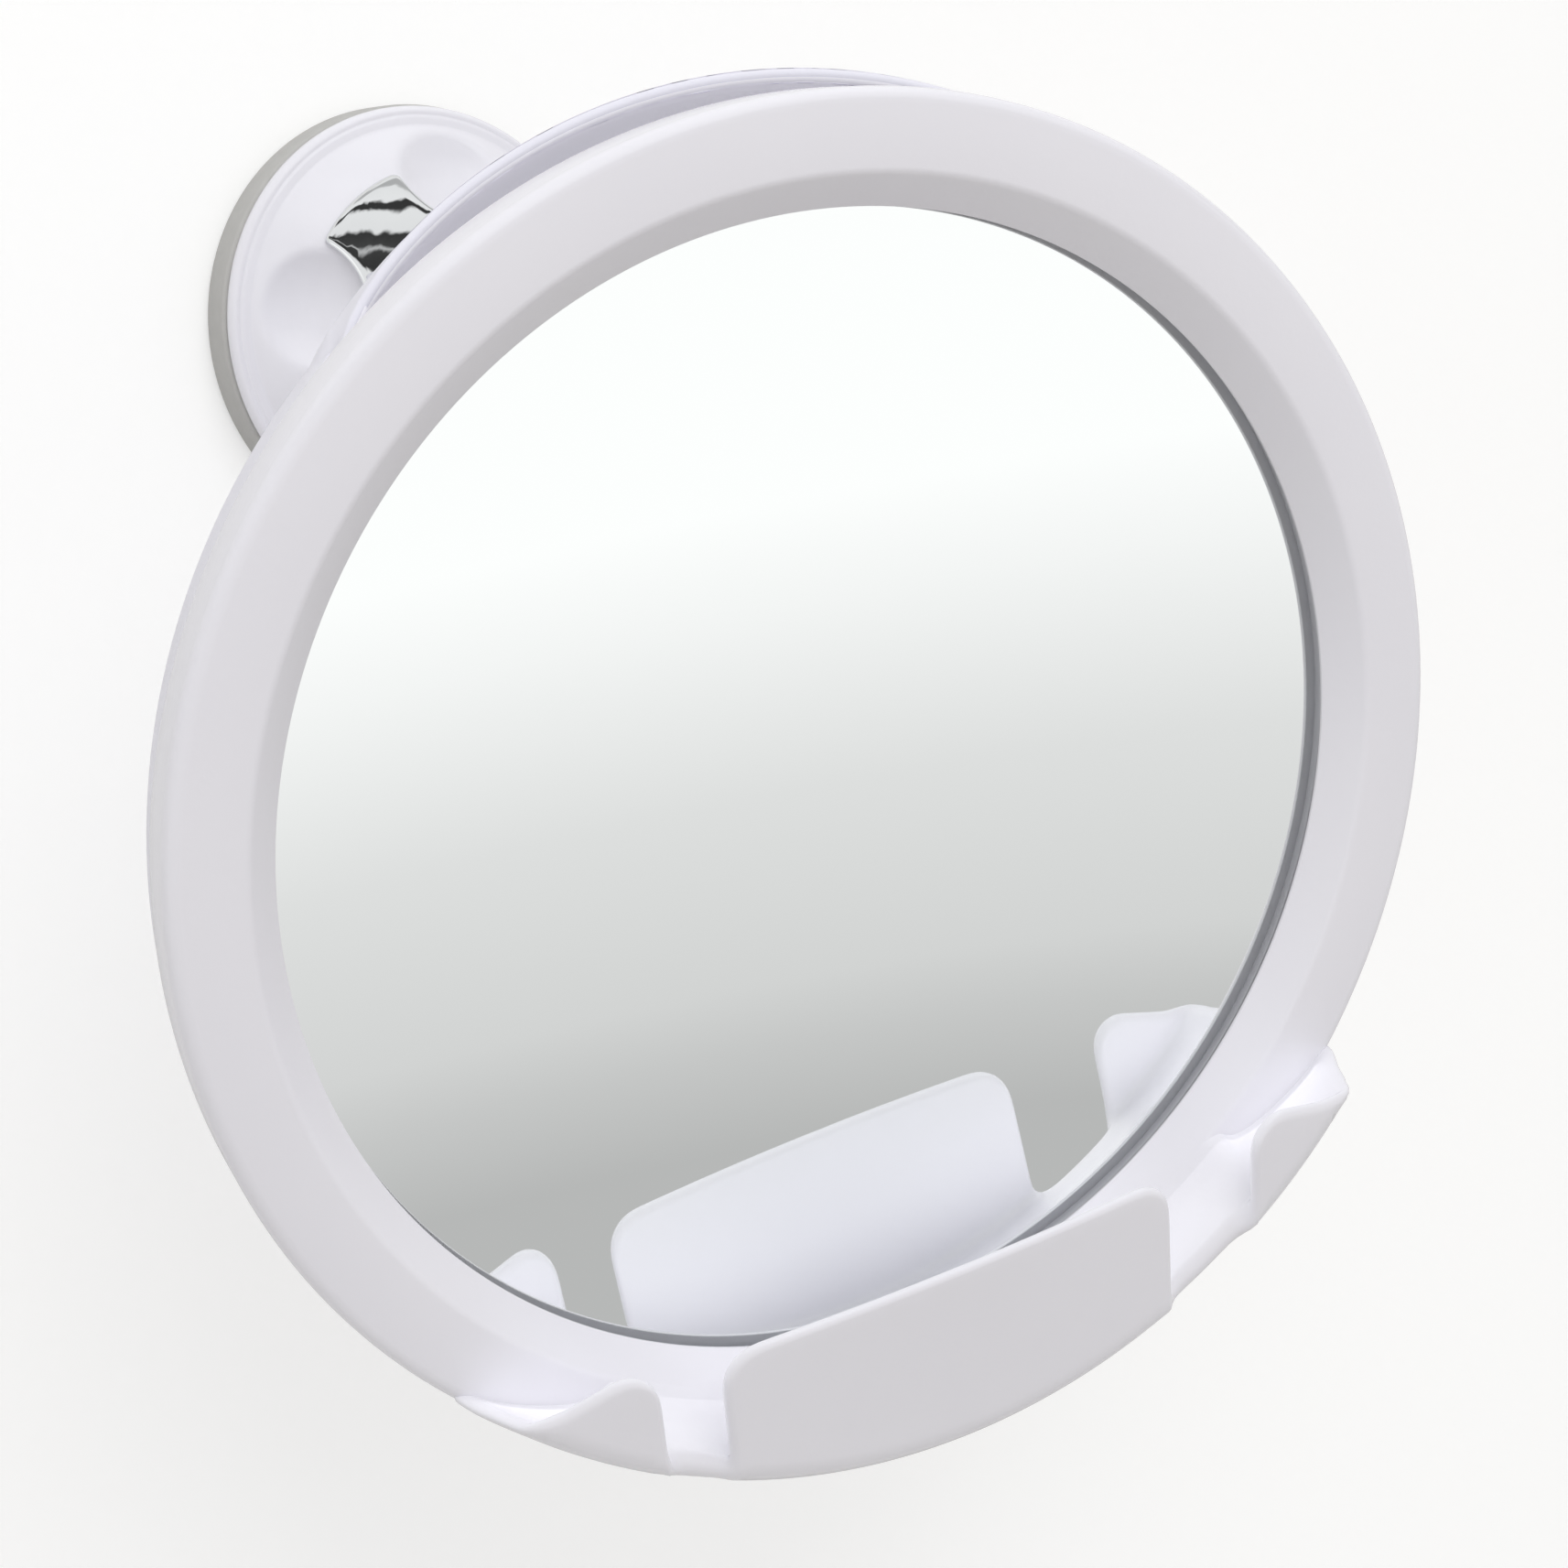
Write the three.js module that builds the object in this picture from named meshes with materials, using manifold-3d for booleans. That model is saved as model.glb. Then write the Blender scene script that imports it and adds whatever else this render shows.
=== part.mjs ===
// Fogless shower mirror: a round mirror with a hot-water tank behind it and a razor trough below it,
// held on a wall by a suction cup with a lock knob and a ball joint.
// Millimetres. The origin is the middle of the cup's flat back on the wall.
// X points to the right, Y into the wall, Z up.
import * as THREE from "three";
import { mergeVertices } from "three/addons/utils/BufferGeometryUtils.js";
import Module from "manifold-3d";

const wasm = await Module();
wasm.setup();

// Free space between neighbouring pieces.
const seatGap = 0.3;

// Points closer than this are one point.
const mergeDistance = 0.0001;

// Mirror glass: an 8 inch disc.
const glassDiameter = 203.2;
const glassThickness = 3;
const glassSegments = 72;

// White ring around the glass. Radii are from the middle of the glass, depths from its lip.
const lipOverlap = 1.6;
const openingRadius = glassDiameter / 2 - lipOverlap;
const ringWidth = 19.7;
const frameRadius = openingRadius + ringWidth;
const lipEdge = 0.6;
const lipEdgeRound = 0.25;
const chamferWidth = 6;
const bandForward = 6;
const bandEdgeRound = 2;
const frameFrontRound = 2.4;
const frameBackRound = 0.8;
const frameDepthBehind = 5.5;
const sideDraft = 1.2;
const frameBackRadius = frameRadius - sideDraft;
const sideWall = 2.3;
const bandThickness = 3.6;
const rebateWall = 2.4;
const ringSegments = 72;
const grooveDepth = bandForward - bandThickness;
const rebateRadius = glassDiameter / 2 + seatGap;
const rebateOuter = rebateRadius + rebateWall;

// Screw posts inside the ring and screw columns inside the tank shell.
const screwCircleInset = 11;
const screwCircleRadius = frameRadius - screwCircleInset;
const screwAngles = [60, 110, 160, 200, 250, 300];
const postRadius = 3.4;
const postTop = 4.5;
const screwHoleRadius = 1.7;
const postHoleDepth = 6;
const columnRadius = 4;
const columnFoot = postTop + seatGap;
const columnFloor = 4.5;
const headSeat = columnFoot + columnFloor;
const counterboreRadius = 3.4;
const screwShankRadius = 1.4;
const screwShankLength = 9;
const screwHeadRadius = 3;
const screwHeadHeight = 2.2;
const screwHeadRound = 0.6;
const screwSegments = 10;

// Trough on the bottom of the ring: a turned section that level cuts shape.
// Insets are measured inwards from the ring's outer edge, and depths forwards from the glass lip.
const floorRootReach = 4.9;
const floorRootDepth = 4;
const floorMidInset = 7.7;
const floorMidDepth = 12;
const floorMidRound = 6;
const floorFrontInset = 6.9;
const lipInnerDepth = 18;
const floorFrontRound = 2.5;
const lipTopInset = 40.7;
const lipInnerTopDepth = 24.9;
const lipOuterTopDepth = 27.4;
const lipOuterFootInset = 3.3;
const lipOuterFootDepth = 20.5;
const lipFootRound = 4;
const undersideInset = 0.1;
const undersideDepth = 10;
const undersideRound = 20;
const floorFrontDepth = 16;
const trayRootInset = 0.5;
const trayRootDepth = 0.6;
const trayInnerRootDepth = 3.6;
const trayCutInset = 0.3;
const lipReach = 33;

// Lips of the trough, seen from the front. Their tops are measured up from the ring's lowest point.
// The wide lip stands a little left of the middle, so the right razor gap is the wider one.
const wideLipHalfWidth = 44.7;
const wideLipShift = -4.2;
const wideLipRise = 40.9;
const wideLipTopRound = 7;
const lipFootCorner = 5;
const smallLipStart = 60;
const smallLipStartRise = 43.1;
const smallLipEndRise = 38.3;
const smallLipEndInset = 15.7;
const smallLipTopRound = 6.5;
const trayMargin = 10.3;
const trayBottom = frameRadius + trayMargin;

// Level of the trough's side walls, from the lips back to the ring.
const sideFrontRise = 40.4;
const sideMiddleRise = 41.6;
const sideBackRise = 42.1;
const sideMiddleDepth = 9;
const sideCutRound = 4;

// Tank shell behind the mirror. Its rim sits inside the ring's side wall, and a step brings the
// shell out to the ring's back edge.
const shellWall = 2.5;
const shellBack = 33;
const shellFlatInset = 41.7;
const shellShoulderInset = 15.7;
const shellRimRadius = frameBackRadius - sideWall - 2 * seatGap;
const shellRimDepth = 1.2;
const shellStepDepth = frameDepthBehind + seatGap;
const shellStepSlant = 0.3;
const shellStepInset = 0.4;
const shellSideInset = 2.9;
const shellSideDepth = 12;
const shellCornerInset = 6.2;
const shellCornerDepth = 27;
const mouthRimOut = 1.3;
const mouthRimDepth = 18.5;
const mouthSideInset = 0.3;
const mouthSideDepth = 22.5;
const mouthCornerInset = 6.7;
const mouthCornerDepth = 30.5;
const mouthHalfAngle = 37;
const shellSegments = 60;
const shellCurveSteps = 6;

// Seals and the ring that holds the glass.
const sealWidth = 3.2;
const sealInset = 0.5;
const sealOuterRadius = frameBackRadius - sideWall - sealInset;
const sealClearance = 0.4;
const gasketWidth = 4.6;
const gasketThickness = 1.8;
const retainerInnerReach = 5;
const retainerOuterReach = 4.2;
const retainerThickness = 2;
const sealSegments = 48;

// Ball joint. The ball sits behind the upper half of the mirror.
const ballRadius = 11;
const ballHeight = 78;
const ballBehindLip = 45;
const ballFromWall = 92;
const stemRadius = 5;
const seatThickness = 2;
const seatRearStart = 55;
const seatRearEnd = 80;
const seatFrontStart = 110;
const socketWall = 3.9;
const socketFloorDepth = 28;
const collarThickness = 3.3;
const collarForward = 7;
const collarBack = 9.5;
const collarOpening = 60;
const collarMouthRadius = 13.2;
const collarBackRound = 2;
const collarFrontRound = 0.8;
const seatSegments = 20;
const collarSegments = 30;
const arcSteps = 5;

// Rest pose of the head on the ball, in degrees.
const panRest = -8.5;
const tiltRest = 6.5;

// Suction cup. Heights are measured from the wall.
const cupRadius = 41.4;
const cupBandHeight = 7.6;
const cupBandWidth = 5.2;
const cupBandRound = 1.2;
const cupLipRound = 1;
const cupFloor = 3;
const cupHubRadius = 10;
const cupHubHeight = 6;
const cupPocketFloor = 2;
const cupSegments = 40;

// Base plate with its centre post.
const basePlateThickness = 3;
const webRadius = 14;
const webTop = 9.4;
const centrePostRadius = 9;
const centrePostTop = 26.8;
const footRecessTop = 7.2;
const baseSegments = 30;

// Rod that pulls the cup's centre, with its cross pin.
const pullerFootRadius = 6;
const pullerFootHeight = 2;
const pullerRadius = 4.5;
const pullerTop = 18;
const pinHeight = 15;
const pinRadius = 1.5;
const pinHalfLength = 12.2;
const lockTravel = 2.5;
const pullerSegments = 20;
const pinSegments = 12;

// Lock knob. Its rim ends just inside the cup's rim.
const cupBeyondKnob = 0.4;
const knobRadius = cupRadius - cupBeyondKnob;
const knobUnderRound = 0.6;
const knobEdgeHeight = 10.4;
const knobEdgeRound = 1.4;
const grooveFromRim = 2.4;
const grooveOuterRadius = knobRadius - grooveFromRim;
const grooveTop = 10.8;
const grooveFloor = 10.1;
const grooveInnerRadius = 37.8;
const domeFootRadius = 37.3;
const domeFootHeight = 11.1;
const domeControlRadius = 27;
const domeControlHeight = 21.5;
const domeTopRadius = 12.5;
const domeTopHeight = 22.8;
const domeSteps = 6;
const knobSegments = 48;

// Four finger scoops in the knob.
const scoopCount = 4;
const scoopFirstAngle = 71;
const scoopCircleRadius = 28.2;
const scoopBallRadius = 20;
const scoopBallOut = 6.2;
const scoopBallUp = 14.7;
const scoopSurfaceHeight = 17.6;
const scoopSegments = 20;

// Chrome cross on the hub.
const coverRadius = 29.5;
const coverThickness = 1.4;
const coverBiteRadius = 13.9;
const coverBiteCircleRadius = 33;
const coverSegments = 40;

// Washer on the post and the foot of the ball stem.
const washerRadius = 12;
const washerThickness = 1.6;
const spigotBottom = 21.2;
const stemFootRadius = 11;
const stemFootHeight = 2.5;
const stemFootRound = 0.8;
const stemFlareRadius = 8;
const stemFlareTop = 31.5;
const stemNeckRadius = 6;
const stemNeckTop = 37;
const stemNeckEnd = 46;
const stemSegments = 20;

const degree = Math.PI / 180;

// Outline with rounded corners. Each corner is [across, along, round].
function roundedOutline(corners, steps) {
  const outline = [];
  corners.forEach(([x, y, round = 0], index) => {
    const here = new THREE.Vector2(x, y);
    if (round === 0) {
      outline.push(here);
      return;
    }
    const before = corners[(index + corners.length - 1) % corners.length];
    const after = corners[(index + 1) % corners.length];
    const back = new THREE.Vector2(before[0], before[1]).sub(here).normalize();
    const on = new THREE.Vector2(after[0], after[1]).sub(here).normalize();
    const half = Math.acos(back.dot(on)) / 2;
    const reach = round / Math.tan(half);
    const middle = back.clone().add(on).normalize();
    const centre = here.clone().addScaledVector(middle, round / Math.sin(half));
    const start = here.clone().addScaledVector(back, reach).sub(centre);
    const end = here.clone().addScaledVector(on, reach).sub(centre);
    const turn = Math.atan2(start.cross(end), start.dot(end));
    for (let step = 0; step <= steps; step += 1) {
      const arm = start.clone().rotateAround(new THREE.Vector2(), (turn * step) / steps);
      outline.push(arm.add(centre));
    }
  });
  return outline;
}

// Points of a circle's arc as [radius, along] from one angle to another, measured from the axis.
function arcPoints(radius, fromDegrees, toDegrees, steps) {
  const points = [];
  for (let step = 0; step <= steps; step += 1) {
    const angle = (fromDegrees + ((toDegrees - fromDegrees) * step) / steps) * degree;
    points.push([radius * Math.sin(angle), radius * Math.cos(angle)]);
  }
  return points;
}

// Closed mesh as a solid that can be joined and cut.
function toSolid(geometry) {
  const bare = geometry.clone();
  bare.deleteAttribute("normal");
  bare.deleteAttribute("uv");
  const merged = mergeVertices(bare, mergeDistance);
  const corners = merged.index.array;
  const faces = [];
  for (let index = 0; index < corners.length; index += 3) {
    const [a, b, c] = corners.subarray(index, index + 3);
    if (a !== b && b !== c && c !== a) faces.push(a, b, c);
  }
  const build = (triVerts) =>
    new wasm.Manifold(
      new wasm.Mesh({
        numProp: 3,
        vertProperties: new Float32Array(merged.attributes.position.array),
        triVerts: new Uint32Array(triVerts),
      }),
    );
  const solid = build(faces);
  if (solid.volume() > 0) return solid;
  return build(faces.toReversed());
}

// Body turned around the Y axis. The profile is a closed loop of [radius, along].
function turned(profile, segments) {
  const points = profile.map((point) =>
    point.isVector2 ? point.clone() : new THREE.Vector2(point[0], point[1]),
  );
  points.push(points[0].clone());
  return toSolid(new THREE.LatheGeometry(points, segments));
}

// Profile given by heights from the wall, turned to depths along Y.
function fromWall(profile) {
  return profile.map((point) =>
    point.isVector2 ? new THREE.Vector2(point.x, -point.y) : [point[0], -point[1]],
  );
}

// Round bar along Y between two depths.
function barAlongY(radius, from, to, segments, x = 0, z = 0) {
  const geometry = new THREE.CylinderGeometry(radius, radius, to - from, segments);
  return toSolid(geometry.translate(x, (from + to) / 2, z));
}

// Flat outline in X and Z, carried along Y between two depths.
function slabAlongY(outline, from, to) {
  const geometry = new THREE.ExtrudeGeometry(new THREE.Shape(outline), {
    depth: to - from,
    bevelEnabled: false,
  });
  return toSolid(geometry.rotateX(Math.PI / 2).translate(0, to, 0));
}

// Flat outline in Y and Z, carried along X between two places.
function slabAlongX(outline, from, to) {
  const geometry = new THREE.ExtrudeGeometry(new THREE.Shape(outline), {
    depth: to - from,
    bevelEnabled: false,
  });
  geometry.translate(0, 0, from);
  const across = new THREE.Vector3(0, 1, 0);
  const up = new THREE.Vector3(0, 0, 1);
  const along = new THREE.Vector3(1, 0, 0);
  return toSolid(geometry.applyMatrix4(new THREE.Matrix4().makeBasis(across, up, along)));
}

// Block between two opposite corners.
function blockBetween(low, high) {
  const size = high.map((value, index) => value - low[index]);
  const middle = high.map((value, index) => (value + low[index]) / 2);
  return toSolid(new THREE.BoxGeometry(...size).translate(...middle));
}

// Named piece in its own colour.
function piece(name, solid, look) {
  const { vertProperties, triVerts, numProp } = solid.getMesh();
  const positions = new Float32Array((vertProperties.length / numProp) * 3);
  for (let index = 0; index < positions.length / 3; index += 1) {
    positions.set(vertProperties.subarray(index * numProp, index * numProp + 3), index * 3);
  }
  const geometry = new THREE.BufferGeometry();
  geometry.setAttribute("position", new THREE.BufferAttribute(positions, 3));
  geometry.setIndex(new THREE.BufferAttribute(new Uint32Array(triVerts), 1));
  geometry.computeVertexNormals();
  const mesh = new THREE.Mesh(geometry, new THREE.MeshStandardMaterial(look));
  mesh.name = name;
  return mesh;
}

const whitePlastic = { color: 0xeeeef2, roughness: 0.3, metalness: 0 };
const greyRubber = { color: 0xb2b1af, roughness: 0.6, metalness: 0 };
const darkRubber = { color: 0x4a4a4c, roughness: 0.8, metalness: 0 };
const chrome = { color: 0xd8dadc, roughness: 0.08, metalness: 1 };
const steel = { color: 0xb9bbbe, roughness: 0.35, metalness: 1 };
const silvering = { color: 0xf2f4f5, roughness: 0.02, metalness: 1 };
const seatPlastic = { color: 0xc9cacd, roughness: 0.5, metalness: 0 };

// Position on a circle around the Y axis, with the angle measured from the top.
function fromTop(radius, degrees) {
  return [radius * Math.sin(degrees * degree), radius * Math.cos(degrees * degree)];
}

function makeRing() {
  const section = roundedOutline(
    [
      [openingRadius, 0],
      [openingRadius, -lipEdge, lipEdgeRound],
      [openingRadius + chamferWidth, -bandForward, bandEdgeRound],
      [frameRadius, -bandForward, frameFrontRound],
      [frameBackRadius, frameDepthBehind, frameBackRound],
      [frameBackRadius - sideWall, frameDepthBehind],
      [frameBackRadius - sideWall, -grooveDepth],
      [rebateOuter, -grooveDepth],
      [rebateOuter, frameDepthBehind],
      [rebateRadius, frameDepthBehind],
      [rebateRadius, 0],
    ],
    2,
  );
  let ring = turned(section, ringSegments);
  for (const angle of screwAngles) {
    const [x, z] = fromTop(screwCircleRadius, angle);
    ring = ring.add(barAlongY(postRadius, -grooveDepth - seatGap, postTop, screwSegments, x, z));
    ring = ring.subtract(
      barAlongY(screwHoleRadius, postTop - postHoleDepth, postTop + seatGap, screwSegments, x, z),
    );
  }
  return ring;
}

// Whole turned trough, before the level cuts.
function makeTrayRing() {
  const section = roundedOutline(
    [
      [openingRadius + floorRootReach, -floorRootDepth],
      [frameRadius - floorMidInset, -floorMidDepth, floorMidRound],
      [frameRadius - floorFrontInset, -lipInnerDepth, floorFrontRound],
      [frameRadius - lipTopInset, -lipInnerTopDepth],
      [frameRadius - lipTopInset, -lipOuterTopDepth],
      [frameRadius - lipOuterFootInset, -lipOuterFootDepth, lipFootRound],
      [frameRadius - undersideInset, -undersideDepth, undersideRound],
      [frameRadius - trayRootInset, -trayRootDepth],
      [frameBackRadius - sideWall, -trayRootDepth],
      [frameBackRadius - sideWall, -trayInnerRootDepth],
    ],
    3,
  );
  return turned(section, ringSegments);
}

// Corner between an upright lip side and the trough's round underside.
function footCorner(side, outward) {
  const centreX = side + outward * lipFootCorner;
  const centreDistance = frameRadius - trayCutInset - lipFootCorner;
  const centreZ = -Math.sqrt(centreDistance ** 2 - centreX ** 2);
  const start = outward > 0 ? Math.PI : 0;
  const end = Math.atan2(centreZ, centreX) + (outward > 0 ? 2 * Math.PI : 0);
  const points = [];
  for (let step = 0; step <= arcSteps; step += 1) {
    const angle = start + ((end - start) * step) / arcSteps;
    points.push([
      centreX + lipFootCorner * Math.cos(angle),
      centreZ + lipFootCorner * Math.sin(angle),
    ]);
  }
  return points;
}

function wideLipOutline() {
  const leftSide = wideLipShift - wideLipHalfWidth;
  const rightSide = wideLipShift + wideLipHalfWidth;
  const right = footCorner(rightSide, -1);
  const left = footCorner(leftSide, 1).reverse();
  const wideLipTop = frameRadius - wideLipRise;
  return roundedOutline(
    [
      [leftSide, -wideLipTop, wideLipTopRound],
      [rightSide, -wideLipTop, wideLipTopRound],
      ...right,
      [wideLipShift, -trayBottom],
      ...left,
    ],
    4,
  );
}

function smallLipOutline() {
  const smallLipEnd = frameRadius - smallLipEndInset;
  const corner = footCorner(smallLipStart, 1);
  return roundedOutline(
    [
      [smallLipStart, smallLipStartRise - frameRadius, smallLipTopRound],
      [smallLipEnd, smallLipEndRise - frameRadius],
      [smallLipEnd, -trayBottom],
      ...corner.reverse(),
    ],
    4,
  );
}

function makeTray() {
  const trayRing = makeTrayRing();
  const sideCut = roundedOutline(
    [
      [-lipReach, sideFrontRise - frameRadius],
      [-sideMiddleDepth, sideMiddleRise - frameRadius, sideCutRound],
      [-trayInnerRootDepth, sideBackRise - frameRadius],
      [0, sideBackRise - frameRadius],
      [0, -trayBottom],
      [-lipReach, -trayBottom],
    ],
    4,
  );
  const lowered = trayRing.intersect(slabAlongX(sideCut, -trayBottom, trayBottom));
  const smallLip = smallLipOutline();
  const otherSmallLip = smallLip.map((point) => new THREE.Vector2(-point.x, point.y)).reverse();
  const kept = slabAlongY(wideLipOutline(), -lipReach, 0)
    .add(slabAlongY(smallLip, -lipReach, 0))
    .add(slabAlongY(otherSmallLip, -lipReach, 0))
    .add(blockBetween([-trayBottom, -floorFrontDepth, -trayBottom], [trayBottom, 0, 0]));
  return lowered.intersect(kept);
}

function makeMirrorFrame() {
  return makeRing().add(makeTray());
}

// How far the shell's rim stands back for the filling mouth: 0 where it is closed, 1 at the top.
function mouthShare(angle) {
  const fromTopAngle = Math.abs(Math.atan2(Math.sin(angle), Math.cos(angle)));
  const share = Math.max(0, 1 - (fromTopAngle / (mouthHalfAngle * degree)) ** 2);
  return Math.sqrt(share);
}

// One section of the tank shell as a closed loop of [radius, depth], from the axis out and back.
function shellLoop(angle) {
  const open = mouthShare(angle);
  const blend = (closed, opened, share = open) => closed + (opened - closed) * share;
  const rimDepth = blend(shellRimDepth, mouthRimDepth);
  const stepped = Math.min(1, (rimDepth - shellRimDepth) / (shellStepDepth - shellRimDepth));
  const cleared = Math.max(0, (rimDepth - shellStepDepth) / (mouthRimDepth - shellStepDepth));
  const flat = new THREE.Vector2(frameRadius - shellFlatInset, shellBack);
  const shoulder = new THREE.Vector2(frameRadius - shellShoulderInset, shellBack);
  const corner = new THREE.Vector2(
    blend(frameRadius - shellCornerInset, frameRadius - mouthCornerInset),
    blend(shellCornerDepth, mouthCornerDepth),
  );
  const side = new THREE.Vector2(
    blend(frameRadius - shellSideInset, frameRadius - mouthSideInset, open ** 3),
    blend(shellSideDepth, mouthSideDepth),
  );
  const rim = new THREE.Vector2(
    blend(shellRimRadius, frameRadius + mouthRimOut, Math.sqrt(cleared)),
    rimDepth,
  );
  const stepOut = new THREE.Vector2(
    frameBackRadius - shellStepInset,
    shellStepDepth + shellStepSlant,
  ).lerp(side.clone().lerp(rim, 1 / 3), stepped);
  const stepIn = new THREE.Vector2(shellRimRadius, shellStepDepth).lerp(
    side.clone().lerp(rim, 2 / 3),
    stepped,
  );
  const curve = new THREE.CubicBezierCurve(flat, shoulder, corner, side);
  const outer = [...curve.getPoints(shellCurveSteps), stepOut, stepIn, rim];
  const inner = outer.map((point, index) => {
    const before = outer[index - 1];
    const after = outer[index + 1];
    const into = before ? point.clone().sub(before).normalize() : new THREE.Vector2(1, 0);
    const onward = after ? after.clone().sub(point).normalize() : into;
    const along = into.clone().add(onward).normalize();
    const offset = shellWall / along.dot(onward);
    return new THREE.Vector2(point.x + along.y * offset, point.y - along.x * offset);
  });
  return [
    new THREE.Vector2(0, shellBack),
    ...outer,
    ...inner.reverse(),
    new THREE.Vector2(0, shellBack - shellWall),
  ];
}

// Tank shell whose section changes around the Y axis.
function makeShellBody() {
  const loops = [];
  for (let segment = 0; segment < shellSegments; segment += 1) {
    const angle = (2 * Math.PI * segment) / shellSegments;
    loops.push(
      shellLoop(angle).map(
        (point) =>
          new THREE.Vector3(point.x * Math.sin(angle), point.y, point.x * Math.cos(angle)),
      ),
    );
  }
  const positions = [];
  const triangle = (...corners) => corners.forEach((corner) => positions.push(...corner));
  loops.forEach((loop, segment) => {
    const next = loops[(segment + 1) % shellSegments];
    for (let index = 0; index < loop.length - 1; index += 1) {
      triangle(loop[index], next[index], next[index + 1]);
      triangle(loop[index], next[index + 1], loop[index + 1]);
    }
  });
  const geometry = new THREE.BufferGeometry();
  geometry.setAttribute("position", new THREE.Float32BufferAttribute(positions, 3));
  return toSolid(geometry);
}

// Solid filled up to the shell's closed outer surface, which ends the screw columns.
function makeShellEnvelope() {
  const outer = shellLoop(Math.PI).slice(0, shellCurveSteps + 5);
  return turned([...outer, new THREE.Vector2(0, shellRimDepth)], shellSegments);
}

function makeRearShell() {
  const socketBallRadius = ballRadius + seatThickness + 2 * seatGap;
  const socketRadius = socketBallRadius + socketWall;
  const envelope = makeShellEnvelope();
  let shell = makeShellBody();
  for (const angle of screwAngles) {
    const [x, z] = fromTop(screwCircleRadius, angle);
    const column = barAlongY(columnRadius, columnFoot, shellBack, screwSegments, x, z);
    shell = shell.add(column.intersect(envelope));
    shell = shell.subtract(
      barAlongY(counterboreRadius, headSeat, shellBack + seatGap, screwSegments, x, z),
    );
    shell = shell.subtract(
      barAlongY(screwHoleRadius, columnFoot - seatGap, headSeat + seatGap, screwSegments, x, z),
    );
  }
  const socket = barAlongY(
    socketRadius,
    socketFloorDepth,
    ballBehindLip,
    collarSegments,
    0,
    ballHeight,
  );
  const bowl = turned(
    [
      [0, 0],
      ...arcPoints(socketBallRadius, 90, 180, 2 * arcSteps).slice(0, -1),
      [0, -socketBallRadius],
    ],
    seatSegments,
  );
  return shell.add(socket).subtract(bowl.translate([0, ballBehindLip, ballHeight]));
}

function makeSocketCollar() {
  const socketBallRadius = ballRadius + seatThickness + 2 * seatGap;
  const threadRadius = socketBallRadius + socketWall + seatGap;
  const section = roundedOutline(
    [
      [threadRadius, -collarForward],
      [threadRadius + collarThickness, -collarForward, collarFrontRound],
      [threadRadius + collarThickness, collarBack, collarBackRound],
      [collarMouthRadius, collarBack],
      ...arcPoints(socketBallRadius, collarOpening, 90, arcSteps).map(([radius, along]) => [
        radius,
        Math.max(along, seatGap),
      ]),
      [threadRadius, seatGap],
    ],
    3,
  );
  return turned(section, collarSegments);
}

// Seat ring or cup around the ball, between two angles from the wall side.
function makeSeat(fromDegrees, toDegrees) {
  const innerRadius = ballRadius + seatGap;
  const outerRadius = innerRadius + seatThickness;
  const inner = arcPoints(innerRadius, fromDegrees, toDegrees, arcSteps);
  const outer = arcPoints(outerRadius, fromDegrees, toDegrees, arcSteps);
  return turned([...outer, ...inner.reverse()], seatSegments);
}

function makeShellScrew() {
  const section = roundedOutline(
    [
      [0, headSeat + seatGap - screwShankLength],
      [screwShankRadius, headSeat + seatGap - screwShankLength],
      [screwShankRadius, headSeat + seatGap],
      [screwHeadRadius, headSeat + seatGap],
      [screwHeadRadius, headSeat + seatGap + screwHeadHeight, screwHeadRound],
      [0, headSeat + seatGap + screwHeadHeight],
    ],
    2,
  );
  return turned(section, screwSegments);
}

// Plain ring with a rectangular section.
function makeWasher(innerRadius, outerRadius, from, to, segments) {
  const section = [
    [innerRadius, from],
    [outerRadius, from],
    [outerRadius, to],
    [innerRadius, to],
  ];
  return turned(section, segments);
}

function makeGlass() {
  const section = [
    [0, seatGap],
    [glassDiameter / 2, seatGap],
    [glassDiameter / 2, seatGap + glassThickness],
    [0, seatGap + glassThickness],
  ];
  return turned(section, glassSegments);
}

function makeCup() {
  const section = roundedOutline(
    [
      [0, 0],
      [cupRadius, 0, cupLipRound],
      [cupRadius, cupBandHeight, cupBandRound],
      [cupRadius - cupBandWidth, cupBandHeight],
      [cupRadius - cupBandWidth, cupFloor],
      [cupHubRadius, cupFloor],
      [cupHubRadius, cupHubHeight],
      [pullerFootRadius + seatGap, cupHubHeight],
      [pullerFootRadius + seatGap, cupPocketFloor],
      [0, cupPocketFloor],
    ],
    3,
  );
  return turned(fromWall(section), cupSegments);
}

function makeBase() {
  const plateTop = cupFloor + seatGap + basePlateThickness;
  const bore = pullerRadius + seatGap;
  const section = [
    [cupHubRadius + seatGap, cupFloor + seatGap],
    [cupRadius - cupBandWidth - seatGap, cupFloor + seatGap],
    [cupRadius - cupBandWidth - seatGap, plateTop],
    [webRadius, plateTop],
    [webRadius, webTop],
    [centrePostRadius, webTop],
    [centrePostRadius, centrePostTop],
    [bore, centrePostTop],
    [bore, footRecessTop],
    [pullerFootRadius + seatGap, footRecessTop],
    [pullerFootRadius + seatGap, plateTop],
    [cupHubRadius + seatGap, plateTop],
  ];
  const slotHalfWidth = pinRadius + seatGap;
  const slotReach = 2 * centrePostRadius;
  const slot = blockBetween(
    [-slotReach, -pinHeight - lockTravel - slotHalfWidth, -slotHalfWidth],
    [slotReach, -pinHeight + slotHalfWidth, slotHalfWidth],
  );
  return turned(fromWall(section), baseSegments).subtract(slot);
}

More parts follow.
